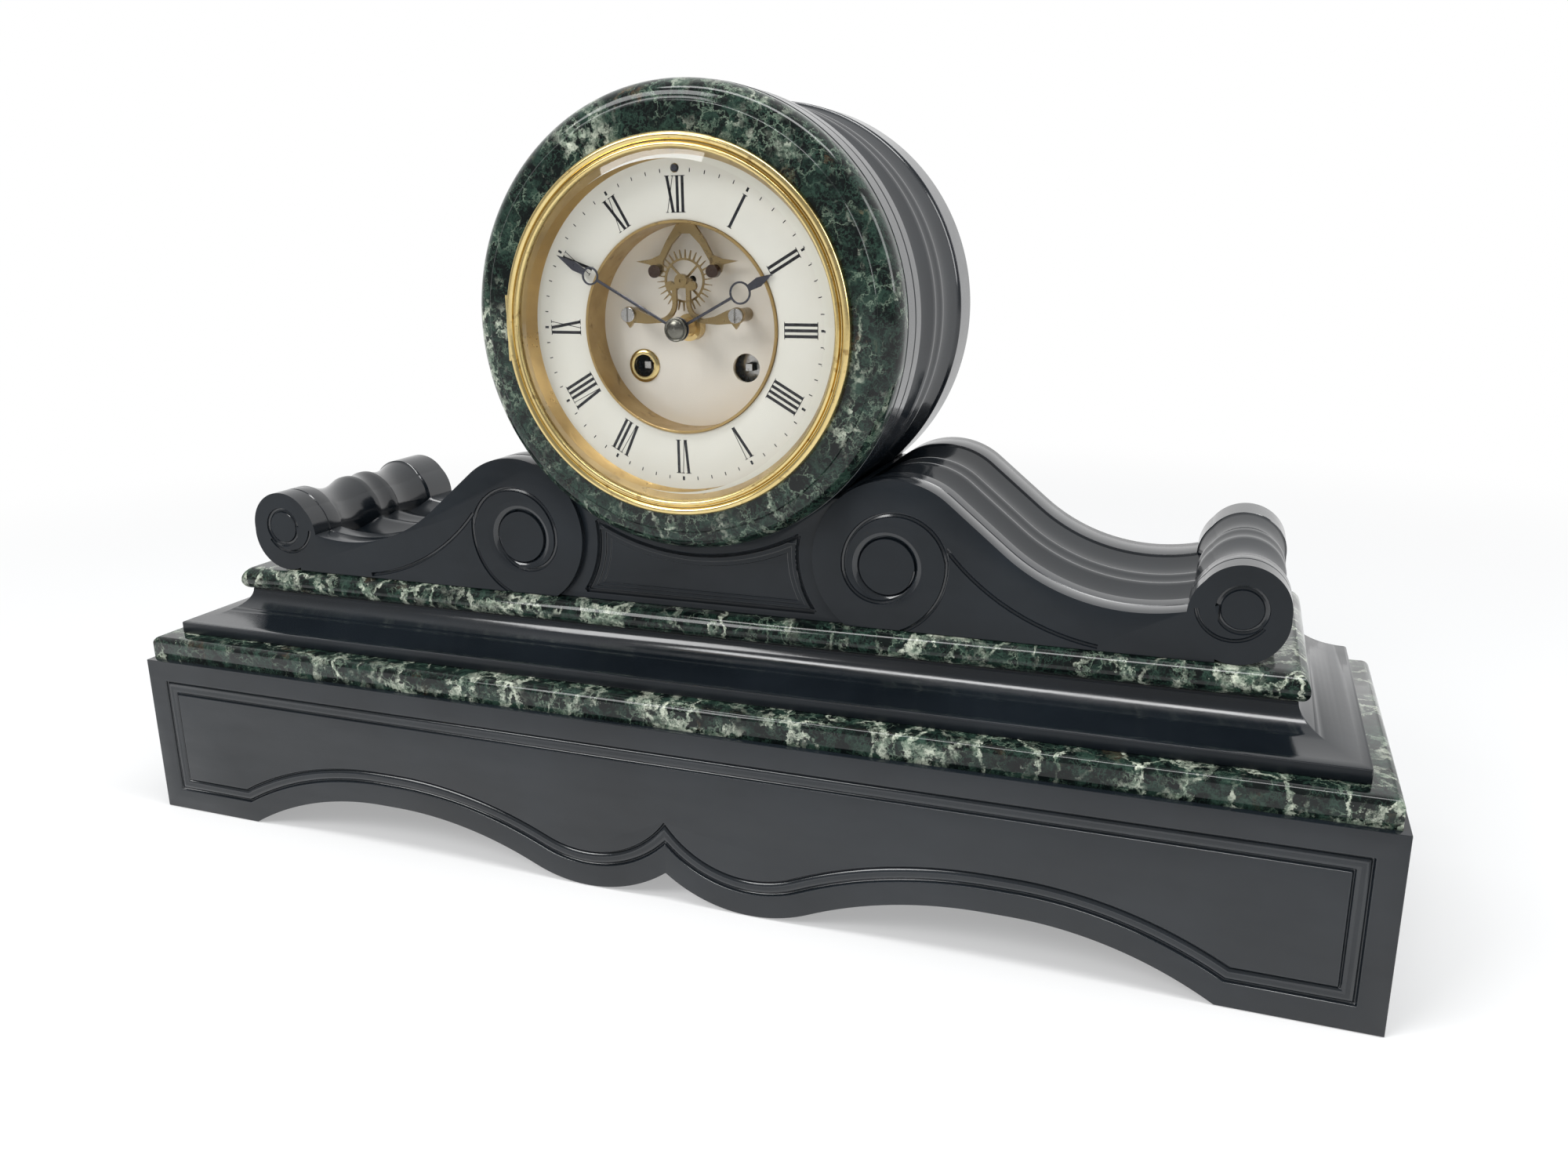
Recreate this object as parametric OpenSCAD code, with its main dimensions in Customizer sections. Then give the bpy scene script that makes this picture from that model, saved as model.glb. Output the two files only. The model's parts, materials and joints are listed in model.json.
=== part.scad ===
// Drumhead mantel clock of slate and green marble with a visible escapement.
// Millimetres, front towards -Y, +Z up, origin at the centre of the footprint on the table.
// Names that end in _back are distances behind the front face of the plinth.

/* [Plinth] */
// Width of the plinth, the widest part of the clock
plinth_w = 500; // [490:1:520]
// Depth of the whole case
case_d = 136; // [135:1:140]
// Height of the plinth block
plinth_h = 70.2; // [66:0.1:76]
// Width of each outer foot
foot_w = 51; // [46:1:56]
// Height of the scalloped arches under the apron
arch_h = 18.9; // [15:0.1:21]
// Radius of the outer end of an arch
haunch_r = 132; // [120:1:140]
// Radius of the inner end of an arch
spandrel_r = 160; // [150:1:170]
// Radius of the two lobes in the middle of the apron
lobe_r = 57; // [52:1:60]
// Width of the flat crown of an arch
crown_w = 8; // [4:1:12]
// Distance of the bead from the outline of the front
bead_inset = 9; // [7:0.5:11]
// Width of the bead with its two quirks
bead_w = 6; // [5:0.5:7]
// Width of a quirk beside the bead
quirk_w = 1.2; // [0.8:0.1:1.5]
// Depth of a quirk
quirk_d = 1.3; // [0.8:0.1:2]

/* [Slabs and moulding] */
// Inset of the lower marble slab from the plinth
lower_inset = 2.5; // [1:0.5:4]
// Thickness of the lower marble slab
lower_h = 10; // [8:0.5:12]
// Rounding of the upper edge of the lower slab
lower_round = 3; // [1:0.5:4]
// Inset of the fillet under the cove moulding
fillet_inset = 11.4; // [9:0.1:13]
// Height of that fillet
fillet_h = 5; // [4:0.5:6]
// Height of the cove moulding with its fillet
cove_h = 16.8; // [15:0.1:19]
// Inset of the neck at the top of the cove
neck_inset = 33.2; // [32:0.1:34]
// Inset of the upper marble slab
upper_inset = 30; // [28:0.5:31]
// Thickness of the upper marble slab
upper_h = 10; // [9:0.5:12]
// Lower radius of the bullnose of the upper slab
bullnose_r = 4; // [3:0.5:4.5]

/* [Drum] */
// Radius of the slate drum
drum_r = 83; // [82:0.5:84]
// Height of the drum axis above the upper slab
drum_lift = 109.2; // [108:0.1:110]
// Front face of the marble ring
ring_back = 22; // [21.9:0.1:22]
// Joint between the marble ring and the slate drum
drum_back = 34; // [33:0.5:36]
// Radius of the flat face of the marble ring
ring_flat_r = 76; // [74:0.5:78]
// Drop of the dial axis below the drum axis
dial_drop = 1.7; // [1:0.1:2.2]
// Greatest depth of the front hollow of the drum profile
hollow_d = 5.2; // [3:0.1:6]
// Greatest depth of the rear hollow of the drum profile
rear_hollow_d = 3.4; // [2:0.1:4]

/* [Saddle and scrolls] */
// Front face of the saddle block
saddle_back = 36.4; // [36:0.1:38]
// Margin of the sunk panel of the saddle
panel_margin = 5.4; // [4:0.1:7]
// Width of the sloping border of the panel
panel_border = 3.6; // [2:0.1:5]
// Depth of the sunk panel
panel_d = 2; // [1:0.1:3]
// Front face of the scrolls
scroll_back = 34.4; // [34:0.1:35.5]
// Distance of a volute from the middle of the clock
volute_x = 78.5; // [78:0.5:80]
// Height of a volute centre above the upper slab
volute_lift = 25; // [24:0.5:26]
// Radius of a volute
volute_r = 30.5; // [30:0.1:31]
// Slope of the straight back of a scroll
scroll_slope = 40; // [38:1:42]
// Length of that straight back
slope_len = 26.5; // [24:0.5:28]
// Radius of the hollow top of a scroll
scroll_cove_r = 70; // [68:0.5:72]
// Distance of an end roll from the middle of the clock
roll_x = 197; // [195:0.5:199]
// Height of an end roll centre above the upper slab
roll_lift = 19; // [18.5:0.1:19.5]
// Radius of an end roll
roll_r = 15.3; // [14.8:0.1:15.8]
// Radius of the foot of an end roll
roll_foot_r = 16.3; // [15.8:0.1:16.8]
// Width of the cut lines on the scrolls
line_w = 1.2; // [0.8:0.1:1.6]
// Depth of the cut lines on the scrolls
line_d = 1; // [0.5:0.1:1.5]

/* [Dial and bezel] */
// Outer radius of the bezel
bezel_r = 66.8; // [66.5:0.1:67.2]
// Width of the bezel
bezel_w = 5.4; // [5:0.1:5.8]
// Overlap of the bezel on the marble round the bore
bezel_lap = 3.3; // [3:0.1:3.4]
// Width of the bevel of the glass
bevel_w = 3.6; // [2:0.1:5]
// Rear face of the closed bezel
bezel_back = 21.8; // [21.7:0.05:21.85]
// Wall of the case ring
case_ring_wall = 1.6; // [1.2:0.1:1.8]
// Face of the chapter ring
chapter_back = 28.2; // [27.9:0.1:29]
// Inner radius of the chapter ring
chapter_in_r = 37.7; // [37.2:0.1:38]
// Wall of the collar round the recessed centre
collar_wall = 0.9; // [0.6:0.1:1.2]
// Face of the recessed dial centre
centre_back = 41; // [40.8:0.1:41.2]
// Thickness of the enamel plates
enamel_t = 1.3; // [1:0.1:1.4]
// Thickness of the false plate
false_t = 1.6; // [1.2:0.1:1.8]
// Height of the fast and slow arbor above the dial centre
regulator_z = 55; // [54.5:0.1:56]
// Radius of the fast and slow arbor
regulator_r = 1.2; // [1:0.1:1.5]
// Half of the distance between the winding arbors
winding_x = 20.6; // [20.5:0.1:20.9]
// Drop of the winding arbors below the dial centre
winding_drop = 14.7; // [14.4:0.1:15]
// Radius of a winding hole in the enamel
winding_hole_r = 5.2; // [5:0.1:5.6]
// Radius of the flange of the grommet
grommet_r = 6.2; // [6.1:0.1:6.6]
// Side of a winding square
square_w = 2.7; // [2.4:0.1:2.8]

/* [Hands] */
// Reach of the minute hand
minute_reach = 53.9; // [50:0.1:56]
// Reach of the hour hand
hour_reach = 41.2; // [38:0.1:44]
// Distance of the minute ring from the centre
minute_ring_at = 38.5; // [36:0.5:41]
// Distance of the hour ring from the centre
hour_ring_at = 27.4; // [25:0.1:30]
// Outer radius of the minute ring
minute_ring_r = 3.3; // [3:0.1:4]
// Outer radius of the hour ring
hour_ring_r = 4; // [3.5:0.1:4.5]
// Width of the hand stems
stem_w = 1; // [0.8:0.1:1.4]
// Thickness of the hands
hand_t = 0.6; // [0.5:0.05:0.7]
// Angle of the minute hand, clockwise from XII
minute_angle = -61; // [-180:1:180]
// Angle of the hour hand, clockwise from XII
hour_angle = 62.2; // [-180:0.1:180]
// Radius of the collet that holds the minute hand
collet_r = 4.3; // [3.8:0.1:4.8]

/* [Movement] */
// Radius of the movement plates
plate_r = 50; // [49:0.5:51]
// Front face of the front plate
front_plate_back = 50; // [49.9:0.1:50.2]
// Clear distance between the plates
plate_gap = 37; // [36.9:0.1:37.2]
// Thickness of each plate
plate_t = 3; // [2.5:0.1:3.1]
// Radius of the plate pillars
pillar_r = 2.5; // [2:0.1:3]
// Radial running clearance of arbors, pipes and pins
run_gap = 0.05; // [0.03:0.01:0.08]
// Radius of a wheel pivot
pivot_r = 0.5; // [0.4:0.05:0.5]
// Height of the escape wheel above the dial centre
escape_z = 16.8; // [16.7:0.1:16.9]
// Tip radius of the escape wheel
escape_r = 10.8; // [10:0.1:10.9]
// Height of the pallet arbor above the dial centre
pallet_z = 40.5; // [40:0.1:41]
// Distance of the pallet pins from the middle
pallet_x = 11.3; // [11.2:0.1:11.6]
// Radius of the spring barrels
barrel_r = 19; // [17:0.1:19]
// Teeth of a barrel
barrel_teeth = 90; // [88:1:92]
// Leaves of a pinion that a barrel drives
barrel_leaves = 12; // [11:1:13]
// Distance between a barrel and the arbor that it drives
barrel_reach = 22.44; // [22.4:0.02:22.6]
// Teeth of the middle wheel
mid_teeth = 84; // [80:1:88]
// Teeth of the centre wheel
centre_teeth = 72; // [70:1:74]
// Teeth of the third wheel
third_teeth = 84; // [82:1:86]
// Leaves of the third and escape pinions
fine_leaves = 6; // [6:1:7]
// Distance between the centre and third arbors
third_reach = 15.6; // [15.5:0.05:15.7]
// Distance between the third and escape arbors
escape_reach = 14.85; // [14.8:0.05:14.9]
// Drop of the minute wheel below the dial centre
minute_drop = 12; // [11.9:0.1:12.1]
// Radius of the ratchet wheels
ratchet_r = 7; // [6:0.1:7.2]

/* [Striking] */
// Distance between the pin wheel and warning wheel arbors
warning_reach = 17.6; // [17.5:0.1:17.7]
// Distance between the warning wheel and fly arbors
fly_reach = 13.2; // [13.1:0.1:13.3]
// Distance between the pin wheel and count wheel arbors
count_reach = 20; // [19.8:0.1:20.2]
// Radius of the bell
bell_r = 30; // [28:0.5:31]
// Depth of the bell
bell_d = 15; // [13:0.5:15.5]
// Wall of the bell
bell_wall = 1.5; // [1.2:0.1:2]
// Open rim of the bell
bell_back = 112; // [111.5:0.1:112.3]

/* [Pendulum] */
// Plane in which the pendulum swings
pendulum_back = 106; // [105.8:0.1:106.2]
// Height of the suspension point above the dial centre
suspension_z = 47.5; // [47:0.1:48]
// Length from the suspension point to the middle of the bob
pendulum_len = 127; // [122:0.5:129]
// Radius of the bob
bob_r = 15; // [13:0.1:15.5]
// Thickness of the bob
bob_t = 8; // [6:0.1:9]
// Radius of the pendulum rod
rod_r = 1.2; // [1:0.1:1.4]
// Half width of the well that the bob hangs in
well_half_w = 20; // [19.5:0.1:22]
// Length of the well from front to back
well_d = 16; // [14:0.1:16]

/* [Rear] */
// Inset of the rear ring from the back of the case
rear_inset = 6.8; // [6.6:0.1:7.2]
// Thickness of the rear ring
rear_ring_t = 2.5; // [2:0.1:2.6]
// Overlap of the back door on the rear ring
door_lap = 4.5; // [4:0.1:6.5]
// Distance between the edge of the back door and the strap screws
door_margin = 9; // [8.7:0.1:9.5]
// Thickness of the back door
door_t = 1.4; // [1:0.1:1.6]
// Distance of the strap screws from the bore of the drum
strap_inset = 6; // [5.5:0.1:6.3]
// Radius of the strap screws
strap_screw_r = 2; // [1.6:0.1:2.2]

/* [Hidden] */
$fn = 96;

slate = [0.09, 0.1, 0.11];
marble = [0.1, 0.2, 0.15];
brass = [0.78, 0.62, 0.33];
steel = [0.5, 0.52, 0.56];
dark_steel = [0.2, 0.21, 0.25];
enamel = [0.93, 0.92, 0.87];
glass = [0.75, 0.85, 0.85, 0.4];
bell_metal = [0.72, 0.6, 0.42];

// Heights of the stacked case
lower_z = plinth_h;
ogee_z = lower_z + lower_h;
upper_z = ogee_z + cove_h;
slab_top = upper_z + upper_h;
drum_z = slab_top + drum_lift;
dial_z = drum_z - dial_drop;
volute_z = slab_top + volute_lift;
roll_z = slab_top + roll_lift;

// Radii that follow the bezel, the bore of the drum among them
sight_r = bezel_r - bezel_w;
bore_r = bezel_r - bezel_lap;
strap_x = bore_r - strap_inset;
door_r = strap_x - door_margin;
rear_open_r = door_r - door_lap;

// Apron: circles that touch each other
foot_x = plinth_w / 2 - foot_w;
arch_x = foot_x - sqrt(haunch_r * haunch_r - (haunch_r - arch_h) * (haunch_r - arch_h));
spandrel_x = arch_x - crown_w;
touch = spandrel_r + lobe_r;
lobe_run = sqrt(touch * touch - (touch - arch_h) * (touch - arch_h));
lobe_x = spandrel_x - lobe_run;

// Front to back profile shared by drum, scrolls and rolls
crest_end = 51.5;
crest_line = 44;
ridge_start = 79.5;
ridge_end = 81.5;
ridge_d = 1.6;
step_d = 2.4;
middle_end = 92;
middle_sag = 1.2;
middle_ridge = 93.8;
rear_start = 94.4;
rear_start_d = 2.2;
rear_end = 117.4;
roll_share = 0.6;
kink = 4;
crest_shift = 0.05;

// Planes of the movement, as distances behind the front face
false_back = centre_back + enamel_t;
false_rear = false_back + false_t;
train_front = front_plate_back + plate_t;
back_plate_back = train_front + plate_gap;
back_plate_rear = back_plate_back + plate_t;
end_shake = 0.2;
fine_plane = train_front + 1.4;
fine_t = 1.4;
centre_plane = train_front + 5;
barrel_start = train_front + 9;
barrel_rim = train_front + 27;
rim_t = 3;
barrel_end = barrel_rim + rim_t;
strike_rim = barrel_rim - rim_t - 0.6;
mid_plane = back_plate_back - 4;
warning_plane = train_front + 13;
escape_plane = 33.6;
escape_t = 0.8;
minute_hand_back = 25.2;
hour_hand_back = 26.7;
hour_plane = front_plate_back - 4.4;
minute_plane = front_plate_back - 2;
motion_t = 1.4;
ratchet_plane = front_plate_back - 1.8;
ratchet_t = 1.4;
cock_plane = 30.4;
cock_t = 1.4;
anchor_plane = 35.6;
anchor_t = 1.4;

// Places of the arbors in the dial plane, as [x, z] from the dial centre
escape_at = [0, escape_z];
pallet_at = [0, pallet_z];
regulator_at = [0, regulator_z];
going_at = [winding_x, -winding_drop];
strike_at = [-winding_x, -winding_drop];
mid_at = [0, -winding_drop - sqrt(barrel_reach * barrel_reach - winding_x * winding_x)];
third_at = meet(escape_at, escape_reach, [0, 0], third_reach);
minute_at = [0, -minute_drop];
pin_at = strike_at + polar(barrel_reach, 106.6);
warning_at = pin_at + polar(warning_reach, 57.3);
fly_at = warning_at + polar(fly_reach, 24.6);
count_at = pin_at + polar(count_reach, -75.5);
hammer_at = [-38, 24];
click_at = [33, -8];
bell_at = [10, -6];
cock_foot = [21.2, 4.7];
foot_at = polar(44, 30);
upper_pillar_at = polar(45.5, 45);
lower_pillar_at = polar(45.5, -58);

// Tooth counts that only the movement needs
mid_leaves = 12;
cannon_leaves = 12;
minute_teeth = 36;
minute_leaves = 10;
hour_teeth = 40;
pin_teeth = 72;
warning_leaves = 8;
warning_teeth = 60;
fly_leaves = 6;
count_leaves = 8;
count_teeth = 72;

// Modules, from the distances between the arbors
barrel_m = 2 * barrel_reach / (barrel_teeth + barrel_leaves);
mid_m = 2 * norm(mid_at) / (mid_teeth + mid_leaves);
centre_m = 2 * third_reach / (centre_teeth + fine_leaves);
third_m = 2 * escape_reach / (third_teeth + fine_leaves);
cannon_m = 2 * minute_drop / (cannon_leaves + minute_teeth);
hour_m = 2 * minute_drop / (minute_leaves + hour_teeth);
pin_m = 2 * warning_reach / (pin_teeth + warning_leaves);
warning_m = 2 * fly_reach / (warning_teeth + fly_leaves);
count_m = 2 * count_reach / (count_teeth + count_leaves);

// Radii of arbors and pipes
arbor_r = 1;
thin_r = 0.6;
cannon_in_r = 1.2 + run_gap;
cannon_r = 2.1;
hour_pipe_r = 3.3;
hour_boss_r = 4.9;
winding_r = 1.8;
barrel_arbor_r = 2.6;
rear_pivot_r = 1;
pallet_arbor_r = 0.9;
stud_r = 1;

// Bezel hinge
hinge_x = 0.6 - bezel_r;
hinge_back = ring_back - 1;
knuckle_r = 0.9;
hinge_pin_r = 0.45;
knuckle_z = 4;
knuckle_end = 12;
knuckle_gap = 0.4;

// Case ring and its seat
case_ring_r = bore_r - 0.3;
case_in_r = case_ring_r - case_ring_wall;
flange_r = bezel_r - 0.9;
flange_t = 1.25;
flange_back = ring_back + 0.05;
seat_gap = 0.1;

// Back door hinge
rear_back = case_d - rear_inset;
rear_rear = rear_back + rear_ring_t;
rear_seat_r = bore_r + 2;
door_back = rear_rear + 0.4;
door_hinge_x = -door_r - 1.8;
door_hinge_back = door_back + 1.1;
door_knuckle_r = 1.4;
door_pin_r = 0.7;

function yb(back) = back - case_d / 2;
function polar(r, a) = [r * cos(a), r * sin(a)];
function angle_to(a, b) = atan2(b[1] - a[1], b[0] - a[0]);
function fan(n, a0, a1) = [for (i = [0 : n]) a0 + (a1 - a0) * i / n];
function arc(c, r, a0, a1, n) = [for (a = fan(n, a0, a1)) c + polar(r, a)];

// Place at distance ra from a and rb from b, on the right of the line from a to b
function meet(a, ra, b, rb) =
    let (d = norm(b - a), u = (b - a) / d, s = (ra * ra - rb * rb + d * d) / (2 * d))
    a + u * s + [-u[1], u[0]] * sqrt(ra * ra - s * s);

// Depth of the shared profile as [distance behind the front, depth] points
function hollow(y0, y1, d0, d1, sag, n) =
    [for (i = [0 : n]) [y0 + (y1 - y0) * i / n, d0 + (d1 - d0) * i / n + sag * sin(180 * i / n)]];
function moulding(y0) = concat(
    [[y0, 0], [crest_line - 0.4, 0], [crest_line, 0.5], [crest_line + 0.4, 0]],
    hollow(crest_end, ridge_start, 0, ridge_d, hollow_d, 16),
    [[ridge_end, ridge_d]],
    hollow(ridge_end + 0.5, middle_end, step_d, ridge_d, middle_sag, 6),
    [[middle_ridge, ridge_d]],
    hollow(rear_start, rear_end, rear_start_d, 1, rear_hollow_d, 12),
    [[rear_end + 0.6, 0], [case_d, 0]]);

// Gear outline with its first tooth at the given angle
function gear_points(teeth, m, first, tip, root, base_share, tip_share) =
    [for (i = [0 : teeth - 1], c = [
        [root, -base_share], [tip, -tip_share], [tip, tip_share], [root, base_share]])
        polar(teeth * m / 2 + c[0] * m, first + (i + c[1] / 2) * 360 / teeth)];

module in_dial() {
    translate([0, 0, dial_z]) children();
}

// Extrudes an outline drawn in X and Z from y0 to y1 behind the front
module slice(y0, y1) {
    translate([0, yb(y1), 0]) rotate([90, 0, 0]) linear_extrude(y1 - y0) children();
}

// Revolves an outline of [radius, distance behind the front] about an axis along Y
module turned(at) {
    translate([at[0], 0, at[1]]) rotate([-90, 0, 0]) translate([0, 0, -case_d / 2])
        rotate_extrude() children();
}

module rod(at, r, y0, y1) {
    translate([at[0], yb(y0), at[1]]) rotate([-90, 0, 0]) cylinder(r = r, h = y1 - y0);
}

module wheel(at, teeth, m, y0, y1, first, hub, spokes) {
    pitch_r = teeth * m / 2;
    rim_in = pitch_r - 2.4 * m - 1;
    slice(y0, y1) translate(at) {
        difference() {
            polygon(gear_points(teeth, m, first, 0.8, -1.3, 0.5, 0.18));
            circle(rim_in);
        }
        circle(hub);
        for (i = [0 : spokes - 1]) rotate(i * 360 / spokes)
            translate([hub / 2, -0.6]) square([rim_in - hub / 2 + 0.2, 1.2]);
    }
}

module pinion(at, leaves, m, y0, y1, first) {
    slice(y0, y1) translate(at) polygon(gear_points(leaves, m, first, 0.5, -1.25, 0.34, 0.16));
}

// Turned arbor between the plates with a pivot in each
module arbor(at, r) {
    rod(at, r, train_front + end_shake, back_plate_back - end_shake);
    rod(at, pivot_r, front_plate_back + 0.4, back_plate_rear - 0.4);
}

// Front of the plinth, drawn in by i on every side
module apron_front(i) {
    difference() {
        translate([i - plinth_w / 2, i]) square([plinth_w - 2 * i, plinth_h - 2 * i]);
        arch_cut(i);
        mirror([1, 0]) arch_cut(i);
    }
}

// Right half of what is cut away under the apron, grown by i
module arch_cut(i) {
    below = 20;
    touch_x = lobe_x + (lobe_r - i) * lobe_run / touch;
    intersection() {
        translate([arch_x, arch_h - haunch_r]) circle(haunch_r + i, $fn = 360);
        translate([arch_x, -below]) square([haunch_r, arch_h + i + below]);
    }
    translate([spandrel_x, -below]) square([crown_w, arch_h + i + below]);
    intersection() {
        translate([spandrel_x, arch_h - spandrel_r]) circle(spandrel_r + i, $fn = 360);
        translate([touch_x, -below]) square([spandrel_x - touch_x, arch_h + i + below]);
    }
    difference() {
        translate([-1, -below]) square([touch_x + 1, arch_h + i + below - 1]);
        translate([lobe_x, lobe_r]) circle(lobe_r - i, $fn = 180);
    }
}

module quirk(i) {
    slice(-1, quirk_d) difference() {
        apron_front(i);
        apron_front(i + quirk_w);
    }
}

module plinth() {
    color(slate) difference() {
        slice(0, case_d) apron_front(0);
        quirk(bead_inset);
        quirk(bead_inset + bead_w - quirk_w);
    }
}

// Block with the same edge profile, [inset, height] from the bottom up, on front and sides
module mitred(profile) {
    last = len(profile) - 1;
    left = [for (i = [last : -1 : 0]) [profile[i][0] - plinth_w / 2, profile[i][1]]];
    right = [for (p = profile) [plinth_w / 2 - p[0], p[1]]];
    front = [for (p = profile) [p[0] - case_d / 2, p[1]]];
    back = [[case_d / 2, profile[last][1]], [case_d / 2, profile[0][1]]];
    intersection() {
        slice(0, case_d) polygon(concat(right, left));
        translate([-plinth_w / 2, 0, 0]) rotate([90, 0, 90])
            linear_extrude(plinth_w) polygon(concat(front, back));
    }
}

module lower_marble_slab() {
    round_at = [lower_inset + lower_round, ogee_z - lower_round];
    color(marble) mitred(concat([[lower_inset, lower_z]], arc(round_at, lower_round, 180, 90, 6)));
}

module ogee_moulding() {
    cove_start = fillet_inset + 1.1;
    cove_z = ogee_z + fillet_h + 0.4;
    cove = [for (a = fan(12, 0, 90)) [
        cove_start + (neck_inset - cove_start) * sin(a),
        cove_z + (upper_z - cove_z) * (1 - cos(a))]];
    color(slate) mitred(concat(
        [[fillet_inset, ogee_z], [fillet_inset, ogee_z + fillet_h]], cove));
}

module upper_marble_slab() {
    top_r = upper_h - bullnose_r;
    waist_z = upper_z + bullnose_r;
    color(marble) mitred(concat(
        arc([upper_inset + bullnose_r, waist_z], bullnose_r, 270, 180, 6),
        arc([upper_inset + top_r, waist_z], top_r, 180, 90, 8)));
}

module pendulum_well() {
    translate([-well_half_w, yb(pendulum_back - well_d / 2), slab_top + 4])
        cube([2 * well_half_w, well_d, drum_z - bore_r * 0.8 - slab_top - 4]);
}

module saddle_block() {
    border_mid = panel_margin + panel_border / 2;
    color(slate) difference() {
        slice(saddle_back, case_d) saddle_body();
        slice(saddle_back - 1, saddle_back + panel_d / 2) saddle_panel(panel_margin);
        slice(saddle_back - 1, saddle_back + panel_d * 0.8) saddle_panel(border_mid);
        slice(saddle_back - 1, saddle_back + panel_d) saddle_panel(panel_margin + panel_border);
        pendulum_well();
    }
}

// The saddle ends where drum and volute come closest
module saddle_body() {
    near = polar(volute_r, 180 - atan2(drum_z - volute_z, volute_x));
    tip = [volute_x, volute_z] + near;
    difference() {
        translate([-volute_x, slab_top]) square([2 * volute_x, tip[1] - slab_top]);
        translate([0, drum_z]) circle(drum_r);
        for (side = [-1, 1]) translate([side * volute_x, volute_z]) {
            circle(volute_r);
            translate([side > 0 ? 0 : -volute_r, -volute_lift - 1])
                square([volute_r, drum_lift]);
        }
        for (side = [-1, 1]) translate([side * volute_x - volute_r, slab_top - 1])
            square([2 * volute_r, 1]);
    }
}

module saddle_panel(i) {
    intersection() {
        difference() {
            translate([-volute_x + volute_r, slab_top + i * 0.76])
                square([2 * (volute_x - volute_r), volute_lift]);
            translate([0, drum_z]) circle(drum_r + i);
            for (side = [-1, 1]) translate([side * volute_x, volute_z]) circle(volute_r + i + 2);
        }
        translate([-volute_x, slab_top]) square([2 * volute_x, volute_lift + 4]);
    }
}

// Solid of revolution whose radius follows the shared profile
module moulded_disc(at, r, share) {
    turned(at) polygon(concat(
        [[0, scroll_back]],
        [for (p = moulding(scroll_back)) [r - share * p[1], p[0]]],
        [[0, case_d]]));
}

module roll_solid() {
    moulded_disc([roll_x, roll_z], roll_r, roll_share);
    moulded_disc([roll_x - 1, slab_top + roll_foot_r], roll_foot_r, roll_share);
}

// Line cut into the face along an arc in X and Z
module face_line(c, r, a0, a1) {
    translate([c[0], yb(scroll_back + line_d), c[1]]) rotate([90, 0, 0]) rotate([0, 0, a0])
        rotate_extrude(angle = a1 - a0)
            translate([r - line_w / 2, 0]) square([line_w, line_d + 1]);
}

module scroll() {
    volute_at = [volute_x, volute_z];
    slope_dir = [cos(scroll_slope), -sin(scroll_slope)];
    slope_out = [sin(scroll_slope), cos(scroll_slope)];
    slope_at = volute_at + volute_r * cos(kink) * slope_out;
    slope_end = slope_at + slope_len * slope_dir;
    cove_at = slope_end + scroll_cove_r * slope_out;
    split_at = slope_end - slope_out * (slope_end[1] - slab_top + 4) / slope_out[1];
    rise = 12;
    over = 5;
    profile = moulding(scroll_back);
    difference() {
        union() {
            turned(volute_at) polygon(concat(
                [[0, scroll_back - over + 3], [volute_r, scroll_back - over + 3]],
                [for (p = profile) [volute_r - p[1], p[0] + crest_shift]],
                [[volute_r, case_d + over - 3], [0, case_d + over - 3]]));
            difference() {
                slice(scroll_back - over + 2, case_d + over - 2) polygon([
                    [volute_x + 1, slab_top - 3], split_at, slope_end + rise * slope_out,
                    slope_at + rise * slope_out, volute_at]);
                translate([slope_at[0], 0, slope_at[1]]) rotate([0, scroll_slope, 0])
                    translate([-1, 0, 0]) rotate([90, 0, 90]) linear_extrude(slope_len + 3)
                        polygon(concat(
                            [[yb(scroll_back - over), 2 * rise], [yb(scroll_back - over), 0]],
                            [for (p = profile) [yb(p[0]), -p[1]]],
                            [[yb(case_d + over), 0], [yb(case_d + over), 2 * rise]]));
            }
            difference() {
                slice(scroll_back - over + 2, case_d + over - 2) polygon([
                    split_at, [roll_x - 4, slab_top - 4], [roll_x - 4, roll_z],
                    [cove_at[0], roll_z], slope_end + rise * slope_out]);
                turned(cove_at) polygon(concat(
                    [[0, scroll_back - over], [scroll_cove_r, scroll_back - over]],
                    [for (p = profile) [scroll_cove_r + p[1], p[0]]],
                    [[scroll_cove_r, case_d + over], [0, case_d + over]]));
                roll_solid();
            }
        }
        translate([0, -case_d, slab_top - volute_r]) cube([plinth_w, 2 * case_d, volute_r]);
        translate([0, yb(scroll_back - 10), 0]) cube([plinth_w, 10, plinth_w]);
        translate([0, yb(case_d), 0]) cube([plinth_w, 10, plinth_w]);
        scroll_lines(volute_at, cove_at);
    }
}

// Spiral of three arcs on the volute and the lower line of the scroll
module scroll_lines(eye, cove_at) {
    face_line(eye + [0.7, -1.2], volute_r * 0.633, 20, 186);
    face_line(eye + [-5.2, -1.4], volute_r * 0.44, 186, 353);
    face_line(eye + [-2.5, -1.5], volute_r * 0.348, -7, 146);
    face_line(cove_at, scroll_cove_r + 15, 221, 260);
}

module scroll_left() {
    color(slate) mirror([1, 0, 0]) scroll();
}

module scroll_right() {
    color(slate) scroll();
}

module end_roll() {
    color(slate) difference() {
        roll_solid();
        face_line([roll_x - 2.7, roll_z + 1], roll_r * 0.78, 190, 325);
        face_line([roll_x, roll_z], roll_r * 0.52, 0, 360);
    }
}

module end_roll_left() {
    mirror([1, 0, 0]) end_roll();
}

module end_roll_right() {
    end_roll();
}

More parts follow.
